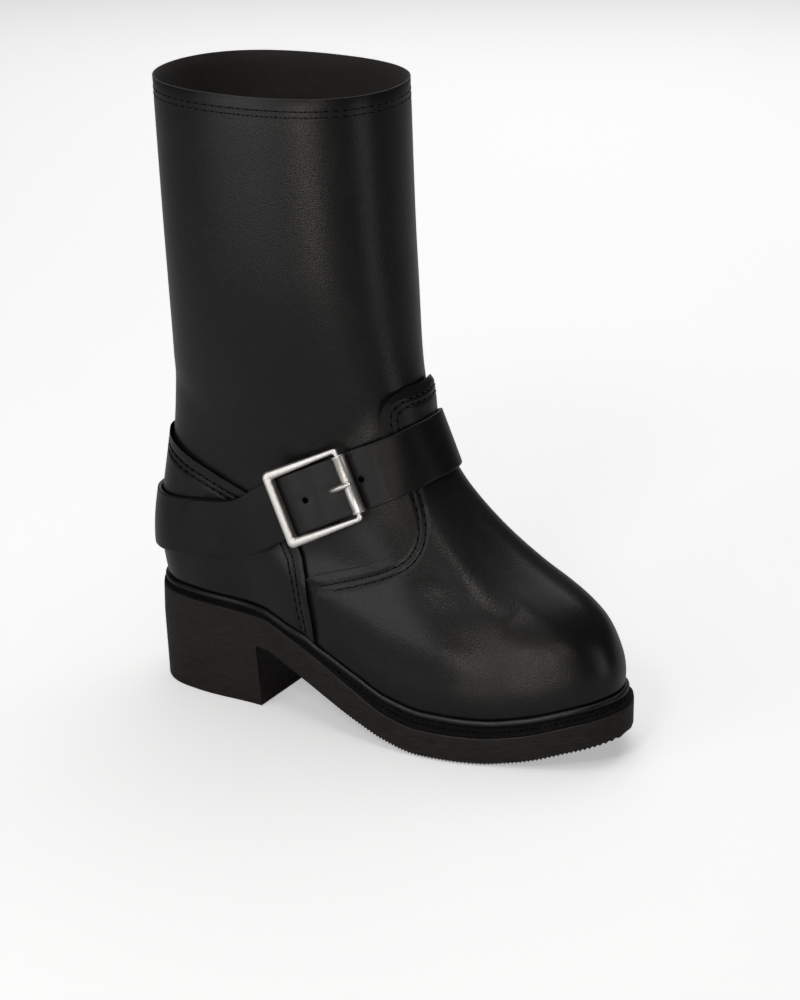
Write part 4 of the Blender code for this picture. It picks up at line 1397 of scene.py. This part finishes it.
@dataclass
class Welt:
    """Storm welt: a round bead that follows the upper and a sloping stitched strip below it."""

    form: Form
    steps: int = 620
    reach: float = 0.95
    clearance: float = 0.55
    lower: float = 0.3
    rim_height: float = 0.6
    bead_radius: float = 1.75
    bead_out: tuple[float, float] = (0.35, 0.16)
    bead_turns: tuple[float, float] = (-62.0, 165.0)
    bead_steps: int = 17
    crest_highlight_turns: tuple[float, float] = (12.0, 50.0)
    # dark lip from the bead up onto the upper: painted shade of the groove between bead and upper
    lip: tuple[float, float] = (1.2, 0.75)
    strip_shares: tuple[float, ...] = (0.12, 0.3, 0.42, 0.5, 0.58, 0.7, 0.92)
    groove: float = 0.45
    groove_width: float = 0.09
    groove_lean: tuple[float, float] = (0.6, 0.8)
    stitch_share: float = 0.5
    stitch_sides: tuple[float, float] = (0.1, 0.9)
    sharp: float = 50.0

    def lines(self) -> dict[str, Array]:
        """Lines round the welt: foot, rim, bead with the neck behind and the lip above, a dark band of
        painted shade for the groove, and the way out.

        Returns:
            Points of each line by its name, and the level directions outwards.
        """
        angle = np.linspace(0, 2 * np.pi, self.steps, endpoint=False)
        foot = self.form.face(np.zeros_like(angle), angle, self.clearance)
        neck = self.form.face(self.form.level_over_bead(angle, -self.bead_radius), angle, self.clearance)
        lip = self.form.face(self.form.level_over_bead(angle, self.lip[0]), angle, self.lip[1])
        rim = np.stack((*self.form.outline(angle), np.zeros_like(angle)), -1)
        outward = unit((rim - foot) * (1, 1, 0))
        stand = self.bead_out[0] + self.bead_out[1] * np.linalg.norm((rim - foot)[:, :2], axis=1)
        rim = foot + self.reach * (rim - foot)
        foot[:, 2] = self.form.top(foot[:, 0]) + self.lower
        rim[:, 2] = self.form.top(rim[:, 0]) + self.lower
        core = neck + outward * stand[:, None]
        return {"foot": foot, "rim": rim, "neck": neck, "core": core, "lip": lip, "outward": outward}

    def bead(self, line: dict[str, Array], turn: float) -> Array:
        """Points of the bead at a turn from straight out, over the top."""
        return line["core"] + self.bead_radius * (line["outward"] * math.cos(turn) + (0, 0, math.sin(turn)))

    def turns(self) -> Array:
        """Turns of the bead's corners from straight out."""
        return np.linspace(*self.bead_turns, self.bead_steps)

    def strip(self, line: dict[str, Array], share: float) -> Array:
        """Points of the strip at a share from its rim to the bead.

        Args:
            line: Lines round the welt.
            share: Share from the rim to the bead.

        Returns:
            Points in millimetres.
        """
        low = line["rim"] + (0, 0, self.rim_height)
        high = self.bead(line, math.radians(self.bead_turns[0]))
        hollow = self.groove * math.exp(-((share - self.stitch_share) / self.groove_width) ** 2)
        inwards = self.groove_lean[0] * line["outward"] + (0, 0, self.groove_lean[1])
        return low + share * (high - low) - hollow * inwards

    def sections(self, line: dict[str, Array]) -> Array:
        """Points of the welt, by step round it and by corner of the section.

        Args:
            line: Lines round the welt.

        Returns:
            Points in millimetres.
        """
        corners = [line["foot"], line["rim"]]
        corners.extend(self.strip(line, share) for share in (0.0, *self.strip_shares))
        corners.extend(self.bead(line, math.radians(turn)) for turn in self.turns())
        corners.extend((line["lip"], line["neck"]))
        return np.stack(corners, axis=1)

    def build(self, finishes: Finishes) -> None:
        """Make the welt and sew its strip.

        Args:
            finishes: Finishes of the boot.
        """
        line = self.lines()
        sections = self.sections(line)
        item = Bench.ring("storm_welt", self.form.metres(sections))
        Bench.dress(item, finishes.welt, finishes.welt_strip_and_groove_shade, finishes.welt_wear_and_highlight)
        start = 3 + len(self.strip_shares)
        turns = self.turns()
        slots = np.zeros(sections.shape[1], np.int32)
        slots[1:start] = 1
        # faces on the bead's upper crest take the lighter finish: partly rubbed wear, partly painted
        # highlight
        slots[start + np.flatnonzero((turns > self.crest_highlight_turns[0]) & (turns < self.crest_highlight_turns[1]))] = 2
        # the lip and neck take the strip's dark finish: painted shade of the groove
        slots[-3:-1] = 1
        item.data.polygons.foreach_set("material_index", np.tile(slots, self.steps))
        Bench.hand_over(item, Slot.WELT, "welt", sharp=self.sharp)
        rows = [self.strip(line, share) for share in (self.stitch_share, *self.stitch_sides)]
        points, below, above, outward = (np.concatenate((row, row[:1])) for row in (*rows, line["outward"]))
        out = unit(np.cross(above - below, np.gradient(points, axis=0)))
        out *= np.sign((out * outward).sum(axis=1))[:, None]
        sewing = (finishes.welt_strip_and_groove_shade, finishes.needle_hole_shade)
        thread = Thread(pitch=3.0, length=2.0, width=1.0, sink=0.1, hole_length=1.3, hole_width=0.9)
        thread.sew("welt_stitches", self.form, [(points, out)], sewing, Slot.WELT)


@dataclass
class Insole:
    """Insole board with a rounded edge, inside the foot of the upper."""

    form: Form
    half_steps: int = 110
    clearance: float = 3.2
    lower: float = 0.3
    level: float = 0.01
    profile: tuple[tuple[float, float], ...] = (
        (0.0, 0.0), (0.6, 0.0), (0.985, 0.0), (1.0, 0.5), (1.0, 2.4), (0.99, 2.9), (0.97, 3.0), (0.6, 3.0),
        (0.0, 3.0))

    def build(self, finishes: Finishes) -> None:
        """Make the board.

        Args:
            finishes: Finishes of the boot.
        """
        turn = np.linspace(0, 2 * np.pi, 2 * self.half_steps + 1)
        level = np.full_like(turn, self.level)
        x, y, _ = (self.form.point(level, turn) - self.clearance * self.form.normal(level, turn)).T
        base = self.form.top(x) + self.lower
        loops = [np.stack((x, y * share, base + height), -1) for share, height in self.profile]
        item = Bench.loft("insole_board", self.form.metres(np.array(loops)))
        Bench.dress(item, finishes.insole)
        Bench.hand_over(item, Slot.INSOLE, "insole")


@dataclass(frozen=True)
class StrapRow:
    """Level and width of the strap at an angle from the front."""

    angle: float
    level: float
    width: float


@dataclass(frozen=True)
class RunRow:
    """Height of the strap's inner face over the upper at a turn."""

    turn: float
    lift: float


@dataclass
class Strap:
    """Ankle strap: from the buckle's middle bar round the boot, through the buckle and over itself."""

    form: Form
    thick: float = 2.2
    columns: int = 340
    rows: int = 30
    levels: tuple[float, float, int] = (0.2, 0.8, 241)
    tip: float = 9.0
    tip_roundness: float = 0.8
    hole_radius: float = 1.7
    hole_angles: tuple[float, ...] = (-53.0, -67.5, -79.8)
    hole_sides: int = 24
    dimple: float = 0.3
    dimple_reach: float = 1.7
    round_edge: float = 0.6
    edge_steps: int = 5
    line: tuple[StrapRow, ...] = table(
        StrapRow, (0, 0.622, 31.0), (15, 0.619, 31.0), (36, 0.602, 31.0), (57, 0.572, 31.0),
        (75, 0.527, 31.0), (96, 0.470, 31.0), (110, 0.418, 30.2), (124, 0.387, 29.6), (150, 0.347, 29.4),
        (180, 0.333, 29.4),
    )
    run: tuple[RunRow, ...] = table(
        RunRow, (-79.5, 0.9), (-85.0, 1.1), (-92.0, 3.0), (-268.0, 3.0), (-276.0, 0.8), (-306.0, 0.8),
        (-314.0, 2.7), (-390.0, 2.7), (-401.5, 2.75), (-406.0, 2.15), (-412.0, 1.4), (-419.0, 1.2),
        (-427.0, 2.3), (-433.0, 3.3), (-437.0, 4.5), (-441.0, 5.6), (-445.0, 6.1), (-449.0, 6.0),
        (-456.0, 5.6), (-497.0, 5.7),
    )

    def __post_init__(self) -> None:
        """Lay the strap on the boot and fit the buckle's plane to it."""
        angles = [row.angle for row in self.line]
        self.level_at = steady_curve(angles, [row.level for row in self.line])
        self.width_at = steady_curve(angles, [row.width for row in self.line])
        self.lift_at = steady_curve([-row.turn for row in self.run], [row.lift for row in self.run])
        self.plane = BucklePlane(self.form, self)

    def section(self, turn: float, plane: "BucklePlane", shares: Array) -> tuple[Array, Array]:
        """Points across the strap's inner face at a turn, and the directions out of it.

        Args:
            turn: Turn along the strap in degrees, downwards from its start.
            plane: Plane of the buckle.
            shares: Shares of the half width, from -1 to 1.

        Returns:
            Points, and directions.
        """
        angle = (turn + 180) % 360 - 180
        radians = math.radians(angle)
        levels = np.linspace(*self.levels)
        meridian = self.form.point(levels, radians)
        run = run_along(meridian)
        middle = np.interp(self.level_at(abs(angle)), levels, run)
        tip = np.clip((self.run[-1].turn + self.tip - turn) / self.tip, 0, 1)
        half = self.width_at(abs(angle)) / 2 * math.sqrt(1 - self.tip_roundness * tip ** 2)
        level = np.interp(middle + np.append(shares, (-1.0, 1.0)) * half, run, levels)
        turns = np.full_like(level, radians)
        normal = self.form.normal(level, turns)
        inner = self.form.point(level, turns) + self.lift_at(-turn) * normal
        first, last, inner, normal = inner[-2], inner[-1], inner[:-2], normal[:-2]
        chord = first + (last - first) * ((shares + 1) / 2)[:, None]
        slack = np.maximum(((chord - inner) * normal).sum(axis=1), 0)
        inner = inner + slack[:, None] * normal
        spot = plane.local(inner)
        near = abs(angle - plane.angle) < plane.sweep
        straight = ease(plane.straight_end, plane.straight_run, abs(spot[:, 0].mean())) if near else 0.0
        flat = plane.world(spot[:, 0].mean(), shares * half, spot[:, 2].max())
        return inner + straight * (flat - inner), normal + straight * (plane.out - normal)

    def spot(self, turn: float) -> tuple[Array, Array]:
        """Middle of the inner face at a turn, and the direction square to the strap.

        Args:
            turn: Turn along the strap in degrees.

        Returns:
            Point, and direction.
        """
        shares = np.array((-1.0, 0.0, 1.0))
        inner, normal = self.section(turn, self.plane, shares)
        before, _ = self.section(turn + 1, self.plane, shares)
        after, _ = self.section(turn - 1, self.plane, shares)
        run = unit(after[1] - before[1])
        return inner[1], unit(normal[1] - run * (normal[1] @ run))

    def outline(self) -> tuple[Array, Array]:
        """Closed section of the strap with rounded edges: shares of its half width, and heights.

        Returns:
            Shares and heights of the section's corners.
        """
        small = self.round_edge / (self.line[0].width / 2)
        bend = np.linspace(0, np.pi / 2, self.edge_steps)
        face = np.linspace(small - 1, 1 - small, self.rows + 1)[1:-1]
        side = 1 - small + small * np.sin(bend)
        rise = self.thick - self.round_edge * (1 - np.cos(bend))
        fall = self.thick - rise
        shares = np.concatenate((face, side, side[::-1], face[::-1], -side, -side[::-1], face[:1]))
        flat = np.full(face.shape, self.thick)
        heights = np.concatenate((flat, rise, fall[::-1], 0 * flat, fall, rise[::-1], flat[:1]))
        return shares, heights

    def build(self, finishes: Finishes) -> None:
        """Make the strap and punch its holes.

        Args:
            finishes: Finishes of the boot.
        """
        turns = np.linspace(self.run[-1].turn, self.run[0].turn, self.columns + 1)
        shares, heights = self.outline()
        sections = [self.section(turn, self.plane, shares) for turn in turns]
        inner = np.array([points for points, _ in sections])
        normal = np.array([out for _, out in sections])
        ahead = unit(np.gradient(inner, axis=0))
        out = unit(normal - ahead * (normal * ahead).sum(axis=-1, keepdims=True))
        loops = inner + out * heights[:, None]
        holes = [self.spot(angle - 360) for angle in self.hole_angles]
        for spot, direction in holes:
            away = np.linalg.norm(loops - (spot + direction * self.thick), axis=-1)
            dip = self.dimple * np.exp(-(away / (self.dimple_reach * self.hole_radius)) ** 2)
            dip *= heights > self.thick / 2
            loops = loops - out * dip[..., None]
        ends = inner[[0, -1]] + out[[0, -1]] * self.thick / 2
        item = Bench.loft("ankle_strap", self.form.metres(np.concatenate((ends[:1], loops, ends[1:]))))
        Bench.dress(item, finishes.strap)
        for spot, direction in holes:
            self.punch(item, spot, direction)
        Bench.hand_over(item, Slot.STRAP, "strap")

    def punch(self, item: Object, spot: Array, out: Array) -> None:
        """Cut one hole through the strap.

        Args:
            item: Strap.
            spot: Middle of the hole on the inner face.
            out: Direction of the hole.
        """
        Bench.clear()
        bpy.ops.mesh.primitive_cylinder_add(vertices=self.hole_sides, radius=self.hole_radius * MM,
                                            depth=3 * self.thick * MM)
        punch = Bench.take("punch")
        middle = Vector(self.form.metres(spot + out * self.thick / 2))
        turn = Vector(out).to_track_quat("Z", "Y").to_matrix().to_4x4()
        punch.data.transform(Matrix.Translation(middle) @ turn)
        cut = item.modifiers.new("hole", "BOOLEAN")
        cut.object = punch
        cut.operation = "DIFFERENCE"
        cut.solver = "EXACT"
        Bench.apply(item)
        bpy.data.objects.remove(punch)


@dataclass
class BucklePlane:
    """Plane that the buckle and the strap's straight stretch share, and the heights of its bars."""

    form: Form
    strap: Strap
    angle: float = -74.2
    feet: tuple[float, float] = (-18.0, 16.0)
    level_step: float = 0.06
    search: float = 26.0
    search_steps: int = 79
    search_shares: tuple[float, ...] = (-1.0, -0.86, 0.0, 0.86, 1.0)
    tilt: float = 3.2
    roll: float = 4.0
    raised: float = 3.8
    length: float = 45.0
    sweep: float = 70.0
    straight_run: float = 24.0
    straight_end: float = 58.0
    bar: float = 3.6
    swell: float = 1.08
    gap: float = 0.3
    middle_radius: float = 1.2
    roller_radius: float = 2.7

    def __post_init__(self) -> None:
        """Fit the plane and its bars to the strap."""
        form, strap = self.form, self.strap
        angle = math.radians(self.angle)
        level = strap.level_at(abs(self.angle))
        near = np.radians(self.angle + np.array(self.feet))
        ends = form.point(strap.level_at(np.abs(np.degrees(near))), near)
        edges = form.point(level + np.array((-self.level_step, self.level_step)), angle)
        chord = unit(ends[1] - ends[0])
        out = unit(np.cross(chord, edges[1] - edges[0]))
        roll, tilt = math.radians(self.roll), math.radians(self.tilt)
        self.out = math.cos(roll) * out + math.sin(roll) * np.cross(out, chord)
        self.along = math.cos(tilt) * chord - math.sin(tilt) * np.cross(self.out, chord)
        self.across = np.cross(self.out, self.along)
        self.origin = form.point(level, angle) + self.raised * self.across
        self.bar_along = (self.length - self.bar) / 2
        shares = np.array(self.search_shares)
        runs = self.angle - 360 + np.linspace(-self.search, self.search, self.search_steps)
        spots = np.array([self.local(strap.section(turn, self, shares)[0]).max(axis=0) for turn in runs])
        over = strap.thick + self.gap

        def heights(along: float) -> Array:
            """Heights of the strap's inner face under a bar."""
            return spots[np.abs(spots[:, 0] - along) < self.bar / 2 + self.gap, 2]
        self.rear = heights(-self.bar_along).max() + over + self.bar * self.swell / 2
        self.front = heights(self.bar_along).max() + over + self.roller_radius
        self.middle = heights(0.0).min() - self.gap - self.middle_radius

    def local(self, point: Array) -> Array:
        """Along, across and out coordinates of points."""
        return (point - self.origin) @ np.stack((self.along, self.across, self.out), -1)

    def world(self, along: Array, across: Array, out: Array) -> Array:
        """Points from along, across and out coordinates.

        Args:
            along: Places along the strap.
            across: Places across it.
            out: Heights out of it.

        Returns:
            Points in millimetres.
        """
        along, across, out = np.broadcast_arrays(along, across, out)
        return (self.origin + along[..., None] * self.along + across[..., None] * self.across
                + out[..., None] * self.out)

    def rise(self, along: Array) -> Array:
        """Height of the frame's middle plane, which tilts over the doubled strap."""
        return self.rear + (along / self.bar_along + 1) / 2 * (self.front - self.rear)


@dataclass
class Buckle:
    """Roller buckle: square frame with a sunken middle bar, roller and prong."""

    form: Form
    strap: Strap
    width: float = 40.9
    length: float = 45.2
    bar: float = 4.5
    corner: float = 3.1
    inner_corner: float = 0.7
    corner_steps: int = 8
    section_steps: int = 16
    squareness: float = 0.52
    arm_turn: float = 1.5
    frame_sharp: float = 60.0
    axle: float = 2.4
    roller_length: float = 30.6
    roller_radius: float = 3.6
    roller_bore: float = 1.7
    roller_round: tuple[float, float] = (0.25, 0.15)
    roller_sides: int = 40
    roller_sharp: float = 35.0
    flange: float = 0.3
    flange_run: tuple[float, float] = (1.0, 1.5)
    prong_radius: float = 1.45
    prong_hook: float = 1.2
    prong_rest: float = 7.0
    prong_reach: float = 3.4
    prong_bow: float = 0.3
    prong_drop: float = 0.9
    prong_gap: float = 0.1
    prong_ends: tuple[float, float] = (0.95, 0.7)
    prong_sharp: float = 50.0

    def rise(self, along: Array) -> Array:
        """Height of the frame's middle plane: over the strap at the rear, on the roller's axis in front.

        Args:
            along: Places along the frame.

        Returns:
            Heights out of the plane.
        """
        plane = self.strap.plane
        share = (along / plane.bar_along + 1) / 2
        return plane.rise(along) + (1 - share) * (self.bar - plane.bar) / 2 + share * self.roller_lift()

    def roller_lift(self) -> float:
        """How much further out the roller's axis lies for the roller's own radius."""
        return self.roller_radius - self.strap.plane.roller_radius

    def rectangle(self, length: float, width: float, radius: float) -> Array:
        """Closed loop of a rectangle with rounded corners.

        Args:
            length: Size along the strap.
            width: Size across it.
            radius: Radius of the corners.

        Returns:
            Places along and across.
        """
        points = []
        for quarter, (side_x, side_y) in enumerate(((1, 1), (-1, 1), (-1, -1), (1, -1))):
            for step in range(self.corner_steps + 1):
                turn = math.radians(90 * (quarter + step / self.corner_steps))
                points.append((side_x * (length / 2 - radius) + radius * math.cos(turn),
                               side_y * (width / 2 - radius) + radius * math.sin(turn)))
        return np.array(points)

    def rod(self, name: str, path: Array, radii: Sequence[float]) -> Object:
        """Round rod along points, as a closed mesh.

        Args:
            name: Name of the rod.
            path: Points of its axis.
            radii: Radius at each point.

        Returns:
            The new object.
        """
        Bench.clear()
        bpy.ops.curve.primitive_nurbs_path_add()
        guide = bpy.context.active_object
        guide.data.splines.clear()
        spline = guide.data.splines.new("NURBS")
        spline.points.add(len(path) - 1)
        for target, point, radius in zip(spline.points, self.form.metres(path), radii):
            target.co = (*point, 1.0)
            target.radius = radius
        spline.use_endpoint_u = True
        spline.order_u = 3
        spline.resolution_u = 10
        guide.data.dimensions = "3D"
        guide.data.bevel_depth = MM
        guide.data.bevel_resolution = 5
        guide.data.use_fill_caps = True
        bpy.ops.object.convert(target="MESH")
        item = Bench.take(name)
        Bench.weld(item, closed=True, gap=0.005)
        return item

    def build_frame(self, finishes: Finishes) -> None:
        """Make the frame, with the roller's axle as its front bar, and join the middle bar to it.

        Args:
            finishes: Finishes of the boot.
        """
        plane = self.strap.plane
        outer = self.rectangle(self.length, self.width, self.corner)
        inner = self.rectangle(self.length - 2 * self.bar, self.width - 2 * self.bar, self.inner_corner)
        middle = (outer + inner) / 2
        thick = np.where(middle[:, 0] > self.length / 2 - self.bar, self.axle, self.bar)
        reach = (outer - middle) * (thick / self.bar)[:, None]
        corners = []
        for step in range(self.section_steps):
            turn = 2 * math.pi * (step + 0.5) / self.section_steps
            flat = middle + reach * self.squared(math.cos(turn)) * plane.swell
            rise = self.rise(flat[:, 0]) + self.squared(math.sin(turn)) * thick * plane.swell / 2
            corners.append(plane.world(flat[:, 0], flat[:, 1], rise))
        item = Bench.ring("square_frame", self.form.metres(np.stack(corners, axis=1)))
        side = self.width / 2 - plane.middle_radius
        high = float(self.rise(np.zeros(1))[0])
        low = plane.middle
        arm = [(side, high), (side, (high + low) / 2), (side, low), (side, low), (side - self.arm_turn, low)]
        spots = [(-across, height) for across, height in arm] + [(0.0, low)] + arm[::-1]
        path = np.array([plane.world(0.0, across, height) for across, height in spots])
        bar = self.rod("middle_bar", path, [plane.middle_radius] * len(path))
        Bench.dress(item, finishes.nickel)
        # the middle bar takes the dark steel: painted shade under the strap
        Bench.dress(bar, finishes.painted_shade_steel)
        Bench.clear()
        bar.select_set(True)
        item.select_set(True)
        bpy.context.view_layer.objects.active = item
        bpy.ops.object.join()
        Bench.hand_over(item, Slot.NICKEL, "buckle_frame", sharp=self.frame_sharp)

    def squared(self, value: float) -> float:
        """Sine or cosine of a section between a circle and a square."""
        return math.copysign(abs(value) ** self.squareness, value)

    def build_roller(self, finishes: Finishes) -> None:
        """Make the roller with its slightly flanged ends.

        Args:
            finishes: Finishes of the boot.
        """
        plane = self.strap.plane
        turns = np.linspace(0, 2 * np.pi, self.roller_sides, endpoint=False)
        half = self.roller_length / 2
        full = self.roller_radius
        end = ((half, self.roller_bore), (half, full - self.roller_round[1]),
               (half - self.roller_round[0], full), (half - self.flange_run[0], full),
               (half - self.flange_run[1], full - self.flange))
        profile = [(-across, radius) for across, radius in end] + list(end[::-1])
        axis = plane.front + self.roller_lift()
        loops = [plane.world(plane.bar_along + radius * np.cos(turns), across, axis + radius * np.sin(turns))
                 for across, radius in profile]
        item = Bench.ring("roller", self.form.metres(np.stack(loops, axis=1)))
        Bench.dress(item, finishes.nickel)
        Bench.hand_over(item, Slot.NICKEL, "buckle_roller", sharp=self.roller_sharp)

    def build_prong(self, finishes: Finishes) -> None:
        """Make the prong: hooked under the middle bar, up through the strap and onto the roller.

        Args:
            finishes: Finishes of the boot.
        """
        plane, strap = self.strap.plane, self.strap
        spot, out = strap.spot(strap.hole_angles[1] - 360)
        hole = spot + out * strap.thick / 2
        clear = plane.middle_radius + plane.gap + self.prong_radius
        top = plane.front + self.roller_lift() + self.roller_radius + self.prong_gap + self.prong_radius
        path = np.array([
            plane.world(-self.prong_hook, 0.0, plane.middle - clear),
            plane.world(self.prong_hook, 0.0, plane.middle - clear),
            plane.world(clear, 0.0, plane.middle - self.prong_hook),
            hole - out * strap.thick, hole + out * strap.thick,
            plane.world(plane.bar_along - self.prong_rest, 0.0, top + self.prong_bow),
            plane.world(plane.bar_along, 0.0, top + self.prong_bow / 2),
            plane.world(plane.bar_along + self.prong_reach, 0.0, top - self.prong_drop)])
        shares = (1.0,) * (len(path) - len(self.prong_ends)) + self.prong_ends
        item = self.rod("prong", path, [self.prong_radius * share for share in shares])
        Bench.dress(item, finishes.nickel)
        Bench.hand_over(item, Slot.NICKEL, "buckle_prong", sharp=self.prong_sharp)


@dataclass(frozen=True)
class Softbox:
    """Area light: its place and target in metres, size, power and tint."""

    name: str
    place: tuple[float, float, float]
    target: tuple[float, float, float]
    size: tuple[float, float]
    power: float
    tint: tuple[float, float, float] = (1.0, 1.0, 1.0)


@dataclass
class Studio:
    """Camera, pale floor and soft lights."""

    form: Form
    azimuth: float = 28.8
    elevation: float = 20.4
    distance: float = 1700.0
    scale: float = 1.914
    anchor: tuple[float, float, float] = (74.0, -33.0, 0.0)
    anchor_pixel: tuple[float, float] = (262.0, 706.0)
    image: tuple[int, int] = (800, 1000)
    sensor: float = 36.0
    view_depth: float = 50.0
    floor_size: float = 9.0
    floor_tones: tuple[float, float] = (0.54, 0.98)
    floor_glow: float = 0.40
    floor_roughness: float = 0.9
    floor_specular: float = 0.1
    world_tone: float = 0.04
    lights: tuple[Softbox, ...] = (
        Softbox("side_box", (-0.57, -1.32, 0.62), (-0.19, 0.0, 0.5), (0.86, 1.2), 3.1),
        Softbox("crest_box", (0.13, -1.22, 1.15), (0.06, 0.0, 0.09), (0.28, 0.28), 3.3, (1.0, 0.96, 0.93)),
        Softbox("ceiling_box", (-0.16, 0.65, 1.70), (-0.16, 0.65, 0.0), (1.67, 2.9), 19.5),
        Softbox("toe_box", (0.40, -1.40, 0.09), (0.10, 0.0, 0.06), (0.58, 0.17), 1.85, (1.0, 0.95, 0.90)),
        Softbox("edge_box", (0.88, -1.22, 0.44), (0.10, 0.0, 0.06), (0.34, 0.16), 0.8, (1.0, 0.95, 0.90)),
        Softbox("low_strip", (-0.45, -1.00, 0.10), (-0.10, 0.0, 0.25), (0.76, 0.18), 0.5),
        Softbox("front_strip", (1.10, 0.0, 0.16), (0.0, 0.0, 0.25), (0.25, 0.30), 0.35),
        Softbox("back_fill", (-0.75, 1.45, 0.75), (0.0, 0.0, 0.15), (1.2, 0.9), 2.0),
    )

    def camera(self) -> None:
        """Put the camera where the photograph was taken from."""
        turn, lift = math.radians(self.azimuth), math.radians(self.elevation)
        right = np.array((math.cos(turn), math.sin(turn), 0.0))
        back = np.array((math.sin(turn) * math.cos(lift), -math.cos(turn) * math.cos(lift), math.sin(lift)))
        up = np.cross(back, right)
        aside = (self.anchor_pixel[0] - self.image[0] / 2) / self.scale
        above = (self.image[1] / 2 - self.anchor_pixel[1]) / self.scale
        eye = np.array(self.anchor) - right * aside - up * above + back * self.distance
        Bench.clear()
        bpy.ops.object.camera_add()
        camera = Bench.take("studio_camera")
        turned = Matrix((right, up, back)).transposed().to_4x4()
        camera.matrix_world = Matrix.Translation(Vector(self.form.metres(eye))) @ turned
        camera.data.sensor_width = self.sensor
        camera.data.lens = self.distance * self.scale * self.sensor / max(self.image)
        camera.data.clip_end = self.view_depth
        bpy.context.scene.camera = camera

    def floor(self) -> None:
        """Lay the pale floor that fills the view."""
        Bench.clear()
        bpy.ops.mesh.primitive_plane_add(size=self.floor_size)
        floor = Bench.take("studio_floor")
        material = bpy.data.materials.new("pale_floor")
        material.use_nodes = True
        nodes = Nodes(material.node_tree)
        seen = nodes.add("LightPath", {})["Is Camera Ray"]
        dim, pale = ((tone, tone, tone, 1.0) for tone in self.floor_tones)
        tone = nodes.add("Mix", {"A": dim, "B": pale, "Factor": seen}, data_type="RGBA")
        nodes.feed(material.node_tree.nodes["Principled BSDF"], {
            "Base Color": tone["Result"], "Roughness": self.floor_roughness,
            "Specular IOR Level": self.floor_specular, "Emission Color": (1.0, 1.0, 1.0, 1.0),
            "Emission Strength": nodes.math("MULTIPLY", seen, self.floor_glow)})
        Bench.dress(floor, material)

    def light(self) -> None:
        """Hang the lights and set the dim room."""
        for box in self.lights:
            Bench.clear()
            bpy.ops.object.light_add(type="AREA", location=box.place)
            lamp = Bench.take(box.name)
            lamp.data.shape = "RECTANGLE"
            lamp.data.size, lamp.data.size_y = box.size
            lamp.data.energy = box.power
            lamp.data.color = box.tint
            aim = Vector(box.target) - Vector(box.place)
            lamp.rotation_euler = aim.to_track_quat("-Z", "Y").to_euler()
        world = bpy.data.worlds.new("dim_room")
        world.use_nodes = True
        room = world.node_tree.nodes["Background"]
        room.inputs["Color"].default_value = (self.world_tone, self.world_tone, self.world_tone, 1.0)
        bpy.context.scene.world = world
        bpy.context.scene.view_settings.view_transform = "Standard"


def main() -> None:
    """Build the studio and the boot, piece by piece."""
    logging.basicConfig(level=logging.INFO, format="%(message)s")
    form = Form()
    studio = Studio(form)
    studio.camera()
    studio.floor()
    studio.light()
    finishes = Finishes(Effects())

    Sole(form).build(finishes)
    Welt(form).build(finishes)
    Insole(form).build(finishes)
    shaft = Shaft(form)
    shaft.build(finishes)
    shaft.sew(finishes)
    vamp = Overlay(
        form, "vamp_and_tab", "vamp", table(
            EdgeRow, (0.050, 99.2), (0.230, 98.3), (0.272, 96.8), (0.324, 88.0), (0.365, 78.0), (0.402, 67.0),
            (0.439, 56.0), (0.486, 47.0), (0.543, 40.4), (0.610, 36.5), (0.672, 35.0), (0.697, 31.0),
            (0.712, 23.0), (0.718, 13.0)),
        centre=0.0, columns=210, rows=190, stitch_rows=(5.4, 8.8), lowest_stitch=0.263, tab_lift=1.7,
        tuck=2.4, skive=0.9, light_edge_above=158.0)
    counter = Overlay(
        form, "heel_counter", "counter", table(
            EdgeRow, (0.050, 80.5), (0.170, 80.5), (0.230, 81.3), (0.300, 82.8), (0.366, 85.0), (0.440, 86.0),
            (0.475, 83.0), (0.513, 74.0), (0.545, 58.0), (0.580, 32.0), (0.598, 12.0)),
        centre=180.0, columns=190, rows=150, stitch_rows=(5.6, 8.8), lowest_stitch=0.045, overlap=0.95)
    for panel in (vamp, counter):
        panel.build(finishes)
        panel.sew(finishes)
    strap = Strap(form)
    strap.build(finishes)
    buckle = Buckle(form, strap)
    buckle.build_frame(finishes)
    buckle.build_roller(finishes)
    buckle.build_prong(finishes)


if __name__ == "__main__":
    main()
